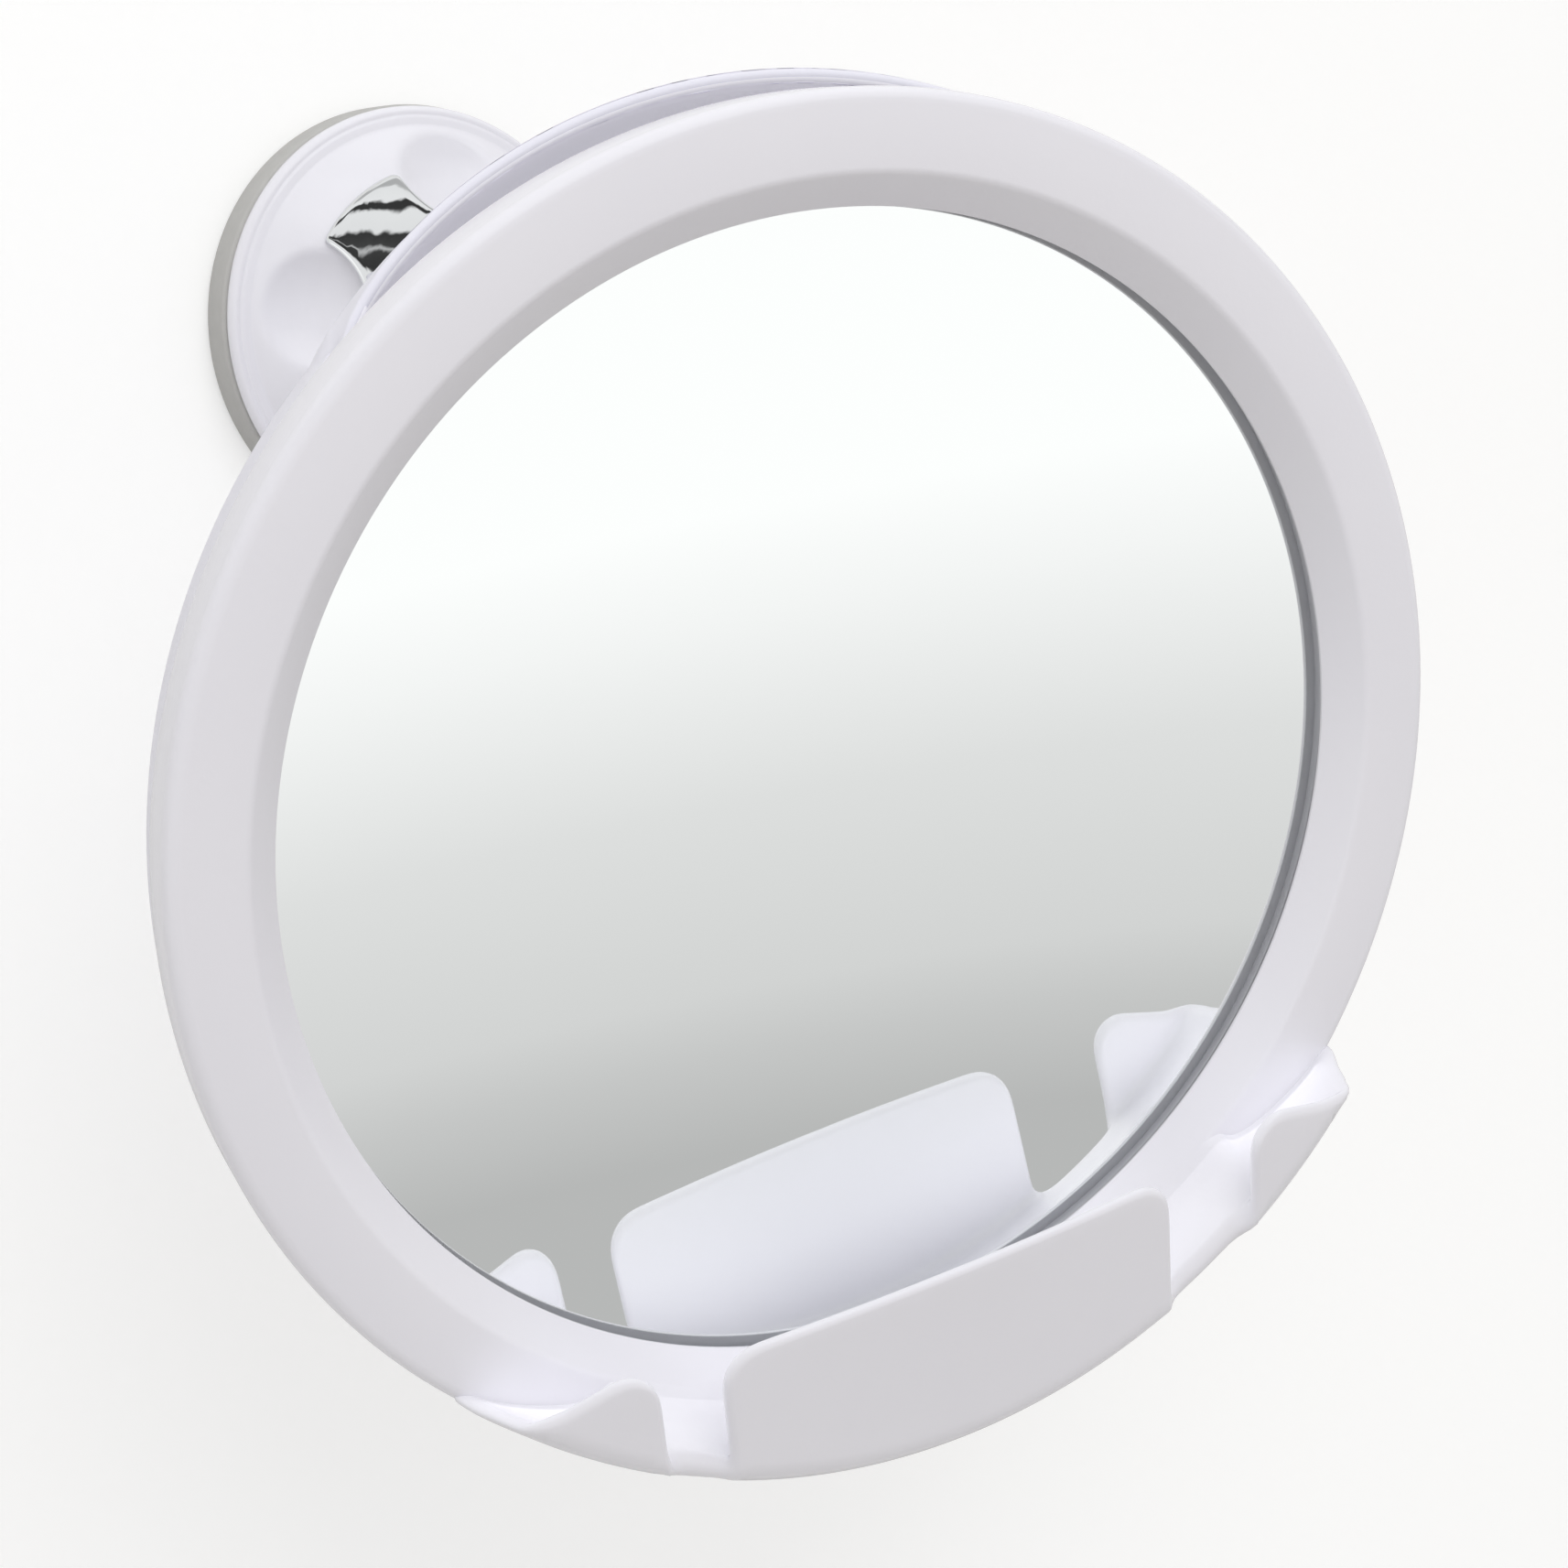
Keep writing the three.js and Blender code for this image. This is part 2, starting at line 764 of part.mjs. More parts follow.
function makePuller() {
  const footBottom = cupPocketFloor + seatGap;
  const section = [
    [0, footBottom],
    [pullerFootRadius, footBottom],
    [pullerFootRadius, footBottom + pullerFootHeight],
    [pullerRadius, footBottom + pullerFootHeight],
    [pullerRadius, pullerTop],
    [0, pullerTop],
  ];
  const hole = new THREE.CylinderGeometry(
    pinRadius + seatGap,
    pinRadius + seatGap,
    2 * pinHalfLength,
    pinSegments,
  );
  hole.rotateZ(Math.PI / 2).translate(0, -pinHeight, 0);
  return turned(fromWall(section), pullerSegments).subtract(toSolid(hole));
}

function makePin() {
  const bar = new THREE.CylinderGeometry(pinRadius, pinRadius, 2 * pinHalfLength, pinSegments);
  return toSolid(bar.rotateZ(Math.PI / 2).translate(0, -pinHeight, 0));
}

// Points on the knob's dome as [radius, height], raised by a chosen amount.
function domePoints(raise) {
  const curve = new THREE.QuadraticBezierCurve(
    new THREE.Vector2(domeFootRadius, domeFootHeight + raise),
    new THREE.Vector2(domeControlRadius, domeControlHeight + raise),
    new THREE.Vector2(domeTopRadius, domeTopHeight + raise),
  );
  return curve.getPoints(domeSteps).map((point) => [point.x, point.y]);
}

function makeKnob() {
  const bore = centrePostRadius + seatGap;
  const underside = cupBandHeight + seatGap;
  const chamberRadius = pinHalfLength + seatGap;
  const chamberBottom = pinHeight - pinRadius - seatGap;
  const chamberTop = pinHeight + lockTravel + pinRadius + seatGap;
  const section = roundedOutline(
    [
      [bore, webTop + seatGap],
      [webRadius + seatGap, webTop + seatGap],
      [webRadius + seatGap, underside],
      [knobRadius, underside, knobUnderRound],
      [knobRadius, knobEdgeHeight, knobEdgeRound],
      [grooveOuterRadius, grooveTop],
      [grooveOuterRadius, grooveFloor],
      [grooveInnerRadius, grooveFloor],
      ...domePoints(0),
      [bore, domeTopHeight],
      [bore, chamberTop],
      [chamberRadius, chamberTop],
      [chamberRadius, chamberBottom],
      [bore, chamberBottom],
    ],
    3,
  );
  let knob = turned(fromWall(section), knobSegments);
  for (let index = 0; index < scoopCount; index += 1) {
    const angle = (scoopFirstAngle + (360 * index) / scoopCount) * degree;
    const reach = scoopCircleRadius + scoopBallOut;
    const ball = new THREE.SphereGeometry(scoopBallRadius, scoopSegments, scoopSegments / 2);
    ball.translate(
      reach * Math.cos(angle),
      -scoopSurfaceHeight - scoopBallUp,
      reach * Math.sin(angle),
    );
    knob = knob.subtract(toSolid(ball));
  }
  return knob;
}

function makeHubCover() {
  const bore = centrePostRadius + seatGap;
  const under = domePoints(seatGap).filter(([radius]) => radius < coverRadius);
  const over = domePoints(seatGap + coverThickness).filter(([radius]) => radius < coverRadius);
  const edge = domeAt(coverRadius);
  const section = [
    [bore, domeTopHeight + seatGap],
    ...under.toReversed(),
    [coverRadius, edge + seatGap],
    [coverRadius, edge + seatGap + coverThickness],
    ...over,
    [bore, domeTopHeight + seatGap + coverThickness],
  ];
  let cover = turned(fromWall(section), coverSegments);
  for (let index = 0; index < scoopCount; index += 1) {
    const angle = (scoopFirstAngle + (360 * index) / scoopCount) * degree;
    cover = cover.subtract(
      barAlongY(
        coverBiteRadius,
        -trayBottom,
        0,
        scoopSegments,
        coverBiteCircleRadius * Math.cos(angle),
        coverBiteCircleRadius * Math.sin(angle),
      ),
    );
  }
  return cover;
}

// Height of the knob's dome at a radius.
function domeAt(radius) {
  const points = domePoints(0);
  const after = points.findIndex((point) => point[0] <= radius);
  const [outerRadius, outerHeight] = points[after - 1];
  const [innerRadius, innerHeight] = points[after];
  const share = (outerRadius - radius) / (outerRadius - innerRadius);
  return outerHeight + (innerHeight - outerHeight) * share;
}

function makeBallStem() {
  const footBottom = centrePostTop + seatGap;
  const neckAngle = Math.asin(stemRadius / ballRadius) / degree;
  const ball = arcPoints(ballRadius, neckAngle, 180, 2 * arcSteps)
    .slice(0, -1)
    .map(([radius, along]) => [radius, ballFromWall - along]);
  const section = roundedOutline(
    [
      [0, spigotBottom],
      [pullerRadius, spigotBottom],
      [pullerRadius, footBottom],
      [stemFootRadius, footBottom],
      [stemFootRadius, footBottom + stemFootHeight, stemFootRound],
      [stemFlareRadius, stemFlareTop],
      [stemNeckRadius, stemNeckTop],
      [stemRadius, stemNeckEnd],
      ...ball,
      [0, ballFromWall + ballRadius],
    ],
    2,
  );
  return turned(fromWall(section), stemSegments);
}

const coverTop = domeTopHeight + seatGap + coverThickness;
const washerBottom = coverTop + seatGap;
const washer = makeWasher(
  centrePostRadius + seatGap,
  washerRadius,
  -washerBottom - washerThickness,
  -washerBottom,
  baseSegments,
);

const wallMount = new THREE.Group();
wallMount.add(
  piece("suction_cup", makeCup(), greyRubber),
  piece("mount_base", makeBase(), whitePlastic),
  piece("ball_stem", makeBallStem(), chrome),
  piece("knob_washer", washer, steel),
  piece("lock_knob", makeKnob(), whitePlastic),
  piece("hub_cover", makeHubCover(), chrome),
  piece("cup_puller", makePuller(), steel),
  piece("puller_pin", makePin(), steel),
);

// The rear seat turns sideways with the head, and the rest of the head also tilts.
const panned = new THREE.Group();
panned.position.y = -ballFromWall;
panned.rotation.z = panRest * degree;
panned.add(piece("ball_seat_rear", makeSeat(seatRearStart, seatRearEnd), seatPlastic));

const tilted = new THREE.Group();
tilted.rotation.x = tiltRest * degree;
tilted.add(
  piece("ball_seat_front", makeSeat(seatFrontStart, 180), seatPlastic),
  piece("socket_collar", makeSocketCollar(), whitePlastic),
);
panned.add(tilted);

// Mirror head, measured from the middle of the glass lip.
const glassBack = seatGap + glassThickness;
const gasketBack = glassBack + seatGap + gasketThickness;
const retainerFront = Math.max(gasketBack, frameDepthBehind) + seatGap;
const gasket = makeWasher(
  glassDiameter / 2 - gasketWidth,
  glassDiameter / 2,
  glassBack + seatGap,
  gasketBack,
  sealSegments,
);
const retainer = makeWasher(
  openingRadius - retainerInnerReach,
  openingRadius + retainerOuterReach,
  retainerFront,
  retainerFront + retainerThickness,
  sealSegments,
);
const seal = makeWasher(
  sealOuterRadius - sealWidth,
  sealOuterRadius,
  sealClearance - grooveDepth,
  shellRimDepth - sealClearance,
  sealSegments,
);

const head = new THREE.Group();
head.position.set(0, -ballBehindLip, -ballHeight);
head.add(
  piece("mirror_frame", makeMirrorFrame(), whitePlastic),
  piece("mirror_glass", makeGlass(), silvering),
  piece("glass_gasket", gasket, darkRubber),
  piece("glass_retainer", retainer, whitePlastic),
  piece("rear_shell", makeRearShell(), whitePlastic),
  piece("tank_seal", seal, darkRubber),
);
screwAngles.forEach((angle, index) => {
  const screw = piece(`shell_screw_${index + 1}`, makeShellScrew(), steel);
  const [x, z] = fromTop(screwCircleRadius, angle);
  screw.position.set(x, 0, z);
  head.add(screw);
});
tilted.add(head);

const group = new THREE.Group();
group.add(wallMount, panned);
export default group;
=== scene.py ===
# %% [markdown]
# # A fogless shower mirror on a suction mount
# The object is a round mirror in a wide white ring. Behind the mirror lies a tank for hot water, and below
# it a trough with two gaps for razors. A ball joint and a suction cup with a lock knob hold it on a wall.
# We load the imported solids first. They carry the real sizes, the bodies and the joints, and stay unchanged.

import math

import bmesh
import bpy
import numpy as np
from mathutils import Matrix, Vector
from mathutils.geometry import delaunay_2d_cdt


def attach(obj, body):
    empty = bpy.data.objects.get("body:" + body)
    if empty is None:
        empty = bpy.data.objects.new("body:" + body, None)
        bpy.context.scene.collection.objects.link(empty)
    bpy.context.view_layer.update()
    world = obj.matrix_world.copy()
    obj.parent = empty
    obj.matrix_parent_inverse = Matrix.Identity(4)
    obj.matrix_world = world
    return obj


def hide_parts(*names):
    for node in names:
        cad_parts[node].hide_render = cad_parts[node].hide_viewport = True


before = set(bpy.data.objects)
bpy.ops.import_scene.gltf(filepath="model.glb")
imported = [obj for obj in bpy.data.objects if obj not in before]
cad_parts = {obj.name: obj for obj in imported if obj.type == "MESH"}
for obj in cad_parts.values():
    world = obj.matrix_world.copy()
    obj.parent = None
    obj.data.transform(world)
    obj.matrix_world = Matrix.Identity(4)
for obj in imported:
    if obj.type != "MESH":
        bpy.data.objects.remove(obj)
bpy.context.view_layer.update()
MM = 0.001
print("nodes:", sorted(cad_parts))

# %% [markdown]
# The head does not hang square to the wall. It is turned 8.5 degrees sideways and leans 6.5 degrees, both
# about the ball. Everything on the head is easier to draw in its own frame, where the middle of the glass
# lip is zero, the glass lies flat and Y points back. One matrix then takes it to its place.

# %% Places of the head and the wall mount
BALL_IN_HEAD = Vector((0.0, 45.0, 78.0))
BALL_ON_WALL = Vector((0.0, -92.0, 0.0))
HEAD_TURN = Matrix.Rotation(math.radians(-8.5), 4, "Z") @ Matrix.Rotation(math.radians(6.5), 4, "X")
HEAD = Matrix.Translation(BALL_ON_WALL) @ HEAD_TURN @ Matrix.Translation(-BALL_IN_HEAD)
WALL = Matrix.Identity(4)
print("middle of the glass on the wall's axes:", [round(v, 1) for v in HEAD.translation])

# %% [markdown]
# Colours are written as the sRGB hex values that we see, and one function turns them to linear light.
# A second small function adds a shader node with its settings and its links. All materials use both.

# %% Helpers for materials
def linear(hex_colour):
    channels = [int(hex_colour[i : i + 2], 16) / 255 for i in (1, 3, 5)]
    return [c / 12.92 if c <= 0.04045 else ((c + 0.055) / 1.055) ** 2.4 for c in channels] + [1.0]


def add_node(tree, kind, settings=None, **inputs):
    node = tree.nodes.new(kind)
    for name, value in (settings or {}).items():
        setattr(node, name, value)
    for name, value in inputs.items():
        socket = node.inputs[int(name[1:])] if name[1:].isdigit() else node.inputs[name.replace("_", " ")]
        if isinstance(value, bpy.types.NodeSocket):
            tree.links.new(value, socket)
        else:
            socket.default_value = value
    return node


def new_material(name):
    material = bpy.data.materials.new(name)
    material.use_nodes = True
    tree = material.node_tree
    return material, tree, tree.nodes["Principled BSDF"]


# %% [markdown]
# The ring, the tank shell and the knob are ABS, moulded in polished steel moulds. The eye sees a soft gloss
# with a grain of about a millimetre that can only just be felt, and a white that drifts by a percent over
# some centimetres, as the melt cools unevenly. Two noise textures give both. The tank's wall is thin and lets
# a little daylight through. Its inside is painted lighter and given a faint glow, painted light that
# brightens the shaded inside of the mouth.

# %% White moulded ABS
def make_moulded_abs(name, tone, deep_tone, roughness):
    material, tree, shader = new_material(name)
    place = add_node(tree, "ShaderNodeTexCoord")
    sink = add_node(tree, "ShaderNodeTexNoise", Vector=place.outputs["Object"], Scale=28.0, Detail=2.0)
    shade = add_node(
        tree,
        "ShaderNodeMix",
        {"data_type": "RGBA"},
        i0=sink.outputs["Fac"],
        i6=linear(tone),
        i7=linear(deep_tone),
    )
    grain = add_node(tree, "ShaderNodeTexNoise", Vector=place.outputs["Object"], Scale=900.0, Detail=1.0)
    soft = add_node(tree, "ShaderNodeBump", Strength=0.04, Distance=0.0004, Height=grain.outputs["Fac"])
    tree.links.new(shade.outputs[2], shader.inputs["Base Color"])
    tree.links.new(soft.outputs["Normal"], shader.inputs["Normal"])
    shader.inputs["Roughness"].default_value = roughness
    shader.inputs["IOR"].default_value = 1.53
    return material


white_abs = make_moulded_abs("White ABS, polished moulding", "#EFEEF3", "#EBEAF0", 0.24)
tank_abs = make_moulded_abs("White ABS, tank moulding", "#EBEAF3", "#E7E6F0", 0.3)
# The inside of the tank is painted lighter than the shell and glows faintly: painted light for the shaded
# inside of the mouth.
tank_inside_painted_glow = make_moulded_abs("White ABS, inside of the tank wall", "#F2F1F6", "#EEEDF4", 0.35)
painted_glow = tank_inside_painted_glow.node_tree.nodes["Principled BSDF"]
painted_glow.inputs["Emission Color"].default_value = linear("#F1EFF6")
painted_glow.inputs["Emission Strength"].default_value = 0.2
seat_abs = make_moulded_abs("Light grey acetal, moulded bearing", "#C4C5C9", "#BEBFC4", 0.42)

# %% [markdown]
# The cup is soft thermoplastic rubber. It is matt, because its surface is slightly sticky and picks up fine
# dust, so we give it a high roughness and a faint mottling of a few millimetres.

# %% Soft grey rubber and seals
def make_rubber(name, tone, deep_tone, roughness):
    material, tree, shader = new_material(name)
    place = add_node(tree, "ShaderNodeTexCoord")
    dust = add_node(tree, "ShaderNodeTexNoise", Vector=place.outputs["Object"], Scale=350.0, Detail=4.0)
    shade = add_node(
        tree,
        "ShaderNodeMix",
        {"data_type": "RGBA"},
        i0=dust.outputs["Fac"],
        i6=linear(tone),
        i7=linear(deep_tone),
    )
    skin = add_node(tree, "ShaderNodeBump", Strength=0.12, Distance=0.0003, Height=dust.outputs["Fac"])
    tree.links.new(shade.outputs[2], shader.inputs["Base Color"])
    tree.links.new(skin.outputs["Normal"], shader.inputs["Normal"])
    shader.inputs["Roughness"].default_value = roughness
    return material


cup_rubber = make_rubber("Grey thermoplastic rubber, moulded", "#C1C0BD", "#B7B6B3", 0.55)
seal_rubber = make_rubber("Dark nitrile rubber, moulded", "#3A3A3C", "#303032", 0.75)

# %% [markdown]
# Chrome plating is a mirror with a very slight waviness from the plastic below it. The screws and the
# puller are turned steel, whose fine tool marks scatter the light a little. The silver lies on flat glass,
# so it has no waves at all.

# %% Chrome and steel
def make_metal(name, tone, roughness, wave_scale, wave_strength):
    material, tree, shader = new_material(name)
    place = add_node(tree, "ShaderNodeTexCoord")
    wave = add_node(
        tree, "ShaderNodeTexNoise", Vector=place.outputs["Object"], Scale=wave_scale, Detail=1.0
    )
    skin = add_node(
        tree, "ShaderNodeBump", Strength=wave_strength, Distance=0.0005, Height=wave.outputs["Fac"]
    )
    tree.links.new(skin.outputs["Normal"], shader.inputs["Normal"])
    shader.inputs["Base Color"].default_value = linear(tone)
    shader.inputs["Metallic"].default_value = 1.0
    shader.inputs["Roughness"].default_value = roughness
    return material


plated_chrome = make_metal("Chrome plating, polished", "#EDEFF0", 0.03, 110.0, 0.18)
turned_steel = make_metal("Stainless steel, turned", "#BFC1C4", 0.32, 1500.0, 0.2)
silvering = make_metal("Silvered glass, polished", "#F4F6F5", 0.01, 6.0, 0.0)

# %% [markdown]
# Every round piece is an outline turned about its axis. The outline's corners are rounded first, because a
# moulded or turned edge is never perfectly sharp, and that small round is what catches the light.

# %% Outlines and turned pieces
def rounded_outline(corners, steps=6):
    outline = []
    count = len(corners)
    for i, corner in enumerate(corners):
        here = Vector(corner[:2])
        rounding = corner[2] if len(corner) > 2 else 0.0
        if rounding <= 0.0:
            outline.append(here)
            continue
        back = (Vector(corners[i - 1][:2]) - here).normalized()
        on = (Vector(corners[(i + 1) % count][:2]) - here).normalized()
        half = back.angle(on) / 2
        reach = rounding / math.tan(half)
        centre = here + (back + on).normalized() * (rounding / math.sin(half))
        start = here + back * reach - centre
        end = here + on * reach - centre
        turn = math.atan2(start.x * end.y - start.y * end.x, start.dot(end))
        for step in range(steps + 1):
            a = turn * step / steps
            outline.append(
                centre
                + Vector(
                    (
                        start.x * math.cos(a) - start.y * math.sin(a),
                        start.x * math.sin(a) + start.y * math.cos(a),
                    )
                )
            )
    return outline


def finish_mesh(name, points, faces, matrix, material, sharp=40.0):
    mesh = bpy.data.meshes.new(name)
    mesh.from_pydata([(matrix @ Vector(p)) * MM for p in points], [], faces)
    cleaner = bmesh.new()
    cleaner.from_mesh(mesh)
    bmesh.ops.remove_doubles(cleaner, verts=cleaner.verts, dist=0.000002)
    bmesh.ops.dissolve_degenerate(cleaner, edges=cleaner.edges, dist=0.000001)
    bmesh.ops.recalc_face_normals(cleaner, faces=cleaner.faces)
    cleaner.to_mesh(mesh)
    cleaner.free()
    mesh.shade_smooth()
    mesh.set_sharp_from_angle(angle=math.radians(sharp))
    mesh.materials.append(material)
    obj = bpy.data.objects.new(name, mesh)
    bpy.context.scene.collection.objects.link(obj)
    print(name, "faces:", len(mesh.polygons))
    return obj


def turned_mesh(outline, segments, section_at=None):
    points, faces = [], []
    for s in range(segments):
        a = 2 * math.pi * s / segments
        section = section_at(a) if section_at else outline
        points += [(p[0] * math.sin(a), p[1], p[0] * math.cos(a)) for p in section]
    size = len(points) // segments
    closed = section_at is None
    for s in range(segments):
        here, there = s * size, (s + 1) % segments * size
        for i in range(size if closed else size - 1):
            j = (i + 1) % size
            faces.append((here + i, there + i, there + j, here + j))
    return points, faces


def turned_piece(name, corners, matrix, material, body, segments=96, steps=5, **options):
    points, faces = turned_mesh(rounded_outline(corners, steps), segments)
    obj = finish_mesh(name, points, faces, matrix, material, **options)
    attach(obj, body)
    return obj


# %% [markdown]
# The ring is one turned section: a thin lip over the glass, a sloped inner face, a flat front band, a round
# outer edge and a side wall. It is drawn at full smoothness here.

# %% Ring around the glass
ring_corners = [
    (100.0, 0.0, 0.15),
    (100.0, -0.6, 0.25),
    (106.0, -6.0, 2.2),
    (119.59, -6.0, 2.4),
    (118.5, 5.5, 0.8),
    (116.2, 5.5, 0.5),
    (116.2, -2.4),
    (104.3, -2.4),
    (104.3, 5.5),
    (101.9, 5.5),
    (101.9, 0.0),
]
frame_ring = turned_piece("frame_ring", ring_corners, HEAD, white_abs, "head", segments=256)
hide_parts("mirror_frame")

# %% [markdown]
# The trough is a sheet of plastic that runs forward from the ring and turns up into three lips. We draw it
# like a cut-out: a flat outline with rounded corners, filled with triangles, then laid on the bent sheet.
# Near its edge the sheet thins to a half circle, which gives every lip the soft rim of the real one.

# %% Rounded sheet cut from an outline
def inset_loop(loop, distance):
    count = len(loop)
    moved = []
    for i, here in enumerate(loop):
        back = (here - loop[i - 1]).normalized()
        on = (loop[(i + 1) % count] - here).normalized()
        across = (back + on).normalized()
        moved.append(here + Vector((-across.y, across.x)) * distance)
    return moved


def even_loop(points, spacing):
    lengths = [(points[(i + 1) % len(points)] - p).length for i, p in enumerate(points)]
    total = sum(lengths)
    count = max(8, round(total / spacing))
    loop, i, gone = [], 0, 0.0
    for k in range(count):
        target = total * k / count
        while gone + lengths[i] < target:
            gone += lengths[i]
            i += 1
        share = (target - gone) / max(lengths[i], 1e-9)
        loop.append(points[i].lerp(points[(i + 1) % len(points)], share))
    return loop


def inside(places, loop):
    a, b = np.array(loop), np.roll(np.array(loop), 1, axis=0)
    x, y = places[:, :1], places[:, 1:]
    spans = (a[:, 1] > y) != (b[:, 1] > y)
    rise = np.where(a[:, 1] == b[:, 1], 1.0, b[:, 1] - a[:, 1])
    left = x < (b[:, 0] - a[:, 0]) * (y - a[:, 1]) / rise + a[:, 0]
    return (spans & left).sum(axis=1) % 2 == 1


def loop_distance(places, loop):
    a, b = np.array(loop), np.roll(np.array(loop), 1, axis=0)
    best = np.full(len(places), 1e9)
    for start, end in zip(a, b):
        along = end - start
        share = np.clip((places - start) @ along / max(along @ along, 1e-12), 0.0, 1.0)
        best = np.minimum(best, np.linalg.norm(places - start - share[:, None] * along, axis=1))
    return best


def rounded_sheet(outline, edge, place, spacing, edge_spacing, rings=4):
    loop = even_loop(outline, edge_spacing)
    flat, height, borders = [], [], []
    for ring in range(rings + 1):
        turn = math.pi / 2 * ring / rings
        start = len(flat)
        moved = inset_loop(loop, edge * (1 - math.cos(turn))) if ring else loop
        flat += moved
        height += [math.sin(turn)] * len(moved)
        borders.append(list(range(start, start + len(moved))))
    low, high = np.min(loop, axis=0), np.max(loop, axis=0)
    rows, columns = ((high - low)[::-1] / spacing).astype(int) + 1
    grid = []
    for row in range(rows):
        first = low[0] + 0.5 * (row % 2) * spacing
        grid += [(first + column * spacing, low[1] + row * spacing) for column in range(columns)]
    grid = np.array(grid)
    grid = grid[inside(grid, loop) & (loop_distance(grid, loop) > edge + 0.6 * spacing)]
    flat += [Vector(p) for p in grid]
    height += [1.0] * len(grid)
    edges = [(b[i - 1], b[i]) for b in borders for i in range(len(b))]
    made = delaunay_2d_cdt(flat, edges, [], 0, 1e-5, True)
    verts, tris, origins = made[0], made[2], made[3]
    middles = np.array([sum((verts[i] for i in t), Vector((0.0, 0.0))) / 3 for t in tris])
    tris = [t for t, kept in zip(tris, inside(middles, loop)) if kept]
    tall = [height[o[0]] if o else 1.0 for o in origins]
    points, front, back = [], [], []
    for v, h in zip(verts, tall):
        front.append(len(points))
        points.append(place(v.x, v.y, h))
        if h > 0:
            back.append(len(points))
            points.append(place(v.x, v.y, -h))
        else:
            back.append(front[-1])
    faces = [tuple(front[i] for i in t) for t in tris]
    faces += [tuple(back[i] for i in reversed(t)) for t in tris]
    return points, faces


# %% [markdown]
# The bent sheet is given by an inner line and an outer line in the section. A place on it is how far along
# the section it lies and how far to the side, and the thickness runs from one line to the other. Towards
# both ends the thick floor thins to a wall, so it fades out on the ring instead of ending in a step.

# %% Section of the trough
def resample(line, count):
    lengths = [(b - a).length for a, b in zip(line, line[1:])]
    total, made, i, gone = sum(lengths), [], 0, 0.0
    for k in range(count):
        target = total * k / (count - 1)
        while i < len(lengths) - 1 and gone + lengths[i] < target:
            gone += lengths[i]
            i += 1
        made.append(line[i].lerp(line[i + 1], (target - gone) / lengths[i]))
    return made


def open_line(corners, steps=8):
    first, last = Vector(corners[0][:2]), Vector(corners[-1][:2])
    return [first] + rounded_outline(corners, steps)[1:-1] + [last]


floor_inner = open_line([(103.0, -3.2), (109.6, -9.4, 8.0), (112.7, -16.5)])
floor_outer = open_line([(118.0, -0.4), (119.6, -5.0, 3.0), (119.0, -9.5, 12.0), (117.2, -16.5)])
bend_inner = open_line([(112.7, -16.5), (112.9, -18.0, 1.4), (110.5, -18.5)])
bend_outer = open_line([(117.2, -16.5), (116.2, -20.5, 3.6), (110.5, -21.5)])
lip_inner = [Vector((110.5, -18.5)), Vector((76.0, -25.5))]
lip_outer = [Vector((110.5, -21.5)), Vector((76.0, -27.74))]
THIN_WALL = 2.4
inner_line = resample(floor_inner, 24) + resample(bend_inner, 10)[1:] + resample(lip_inner, 30)[1:]
outer_line = resample(floor_outer, 24) + resample(bend_outer, 10)[1:] + resample(lip_outer, 30)[1:]
middle_line = [(a + b) / 2 for a, b in zip(inner_line, outer_line)]
thin_line = [b + (a - b).normalized() * THIN_WALL for a, b in zip(inner_line, outer_line)]
way_along = [0.0]
for a, b in zip(middle_line, middle_line[1:]):
    way_along.append(way_along[-1] + (b - a).length)
FLOOR_END = way_along[23]
BEND_END = way_along[32]
print("along the section, mm: floor", round(FLOOR_END, 1), "bend", round(BEND_END, 1))


def on_line(line, s):
    s = max(0.0, min(way_along[-1] - 1e-6, s))
    i = 0
    while way_along[i + 1] < s:
        i += 1
    share = (s - way_along[i]) / (way_along[i + 1] - way_along[i])
    return line[i].lerp(line[i + 1], share)


def soft_step(share):
    share = max(0.0, min(1.0, share))
    return share * share * (3 - 2 * share)


END_LEVEL, END_RISE = -79.3, 1.5
FADE_WIDTH = 22.0
LEVEL_FROM, LEVEL_WITHIN = 62.0, 14.0


def end_of_trough(s):
    middle = on_line(middle_line, s)
    level = -END_LEVEL - END_RISE * soft_step((12.0 + middle.y) / 6.0)
    return math.sqrt(middle.x**2 - level**2)


def on_trough(x, s, w):
    inner, outer, middle = on_line(inner_line, s), on_line(outer_line, s), on_line(middle_line, s)
    solid = soft_step((end_of_trough(min(s, BEND_END)) - abs(x)) / FADE_WIDTH)
    inner = on_line(thin_line, s).lerp(inner, solid)
    p = (inner + outer) / 2 + (inner - outer) * 0.5 * w
    straight = math.asin(max(-1.0, min(1.0, x / p.x)))
    middle_drop = math.sqrt(max(middle.x**2 - x**2, 0.0))
    level = math.copysign(math.acos(max(-1.0, min(1.0, middle_drop / p.x))), x)
    a = straight + (level - straight) * soft_step((abs(x) - LEVEL_FROM) / LEVEL_WITHIN)
    return (p.x * math.sin(a), p.y, -p.x * math.cos(a))


# %% [markdown]
# Now the outline. The lips end on nearly level lines below the middle of the glass. The wide lip has
# upright sides with rounded corners, and it stands a little left of the middle, as in the photo. Each
# small lip runs out until the level line meets the trough's end, and from there the edge follows the
# trough back to the ring.

# %% Outline of the trough and its lips
def along_for_radius(radius):
    low, high = BEND_END, way_along[-1]
    for _ in range(40):
        middle = (low + high) / 2
        if on_line(middle_line, middle).x > radius:
            low = middle
        else:
            high = middle
    return low


def at_level(x, z):
    return Vector((x, along_for_radius(math.hypot(x, z))))


def rounded_top(side, inward, level, rounding):
    made = []
    for i in range(9):
        a = math.pi / 2 * i / 8
        x = side + inward * rounding * (1 - math.cos(a))
        made.append(at_level(x, level - rounding * (1 - math.sin(a))))
    return made


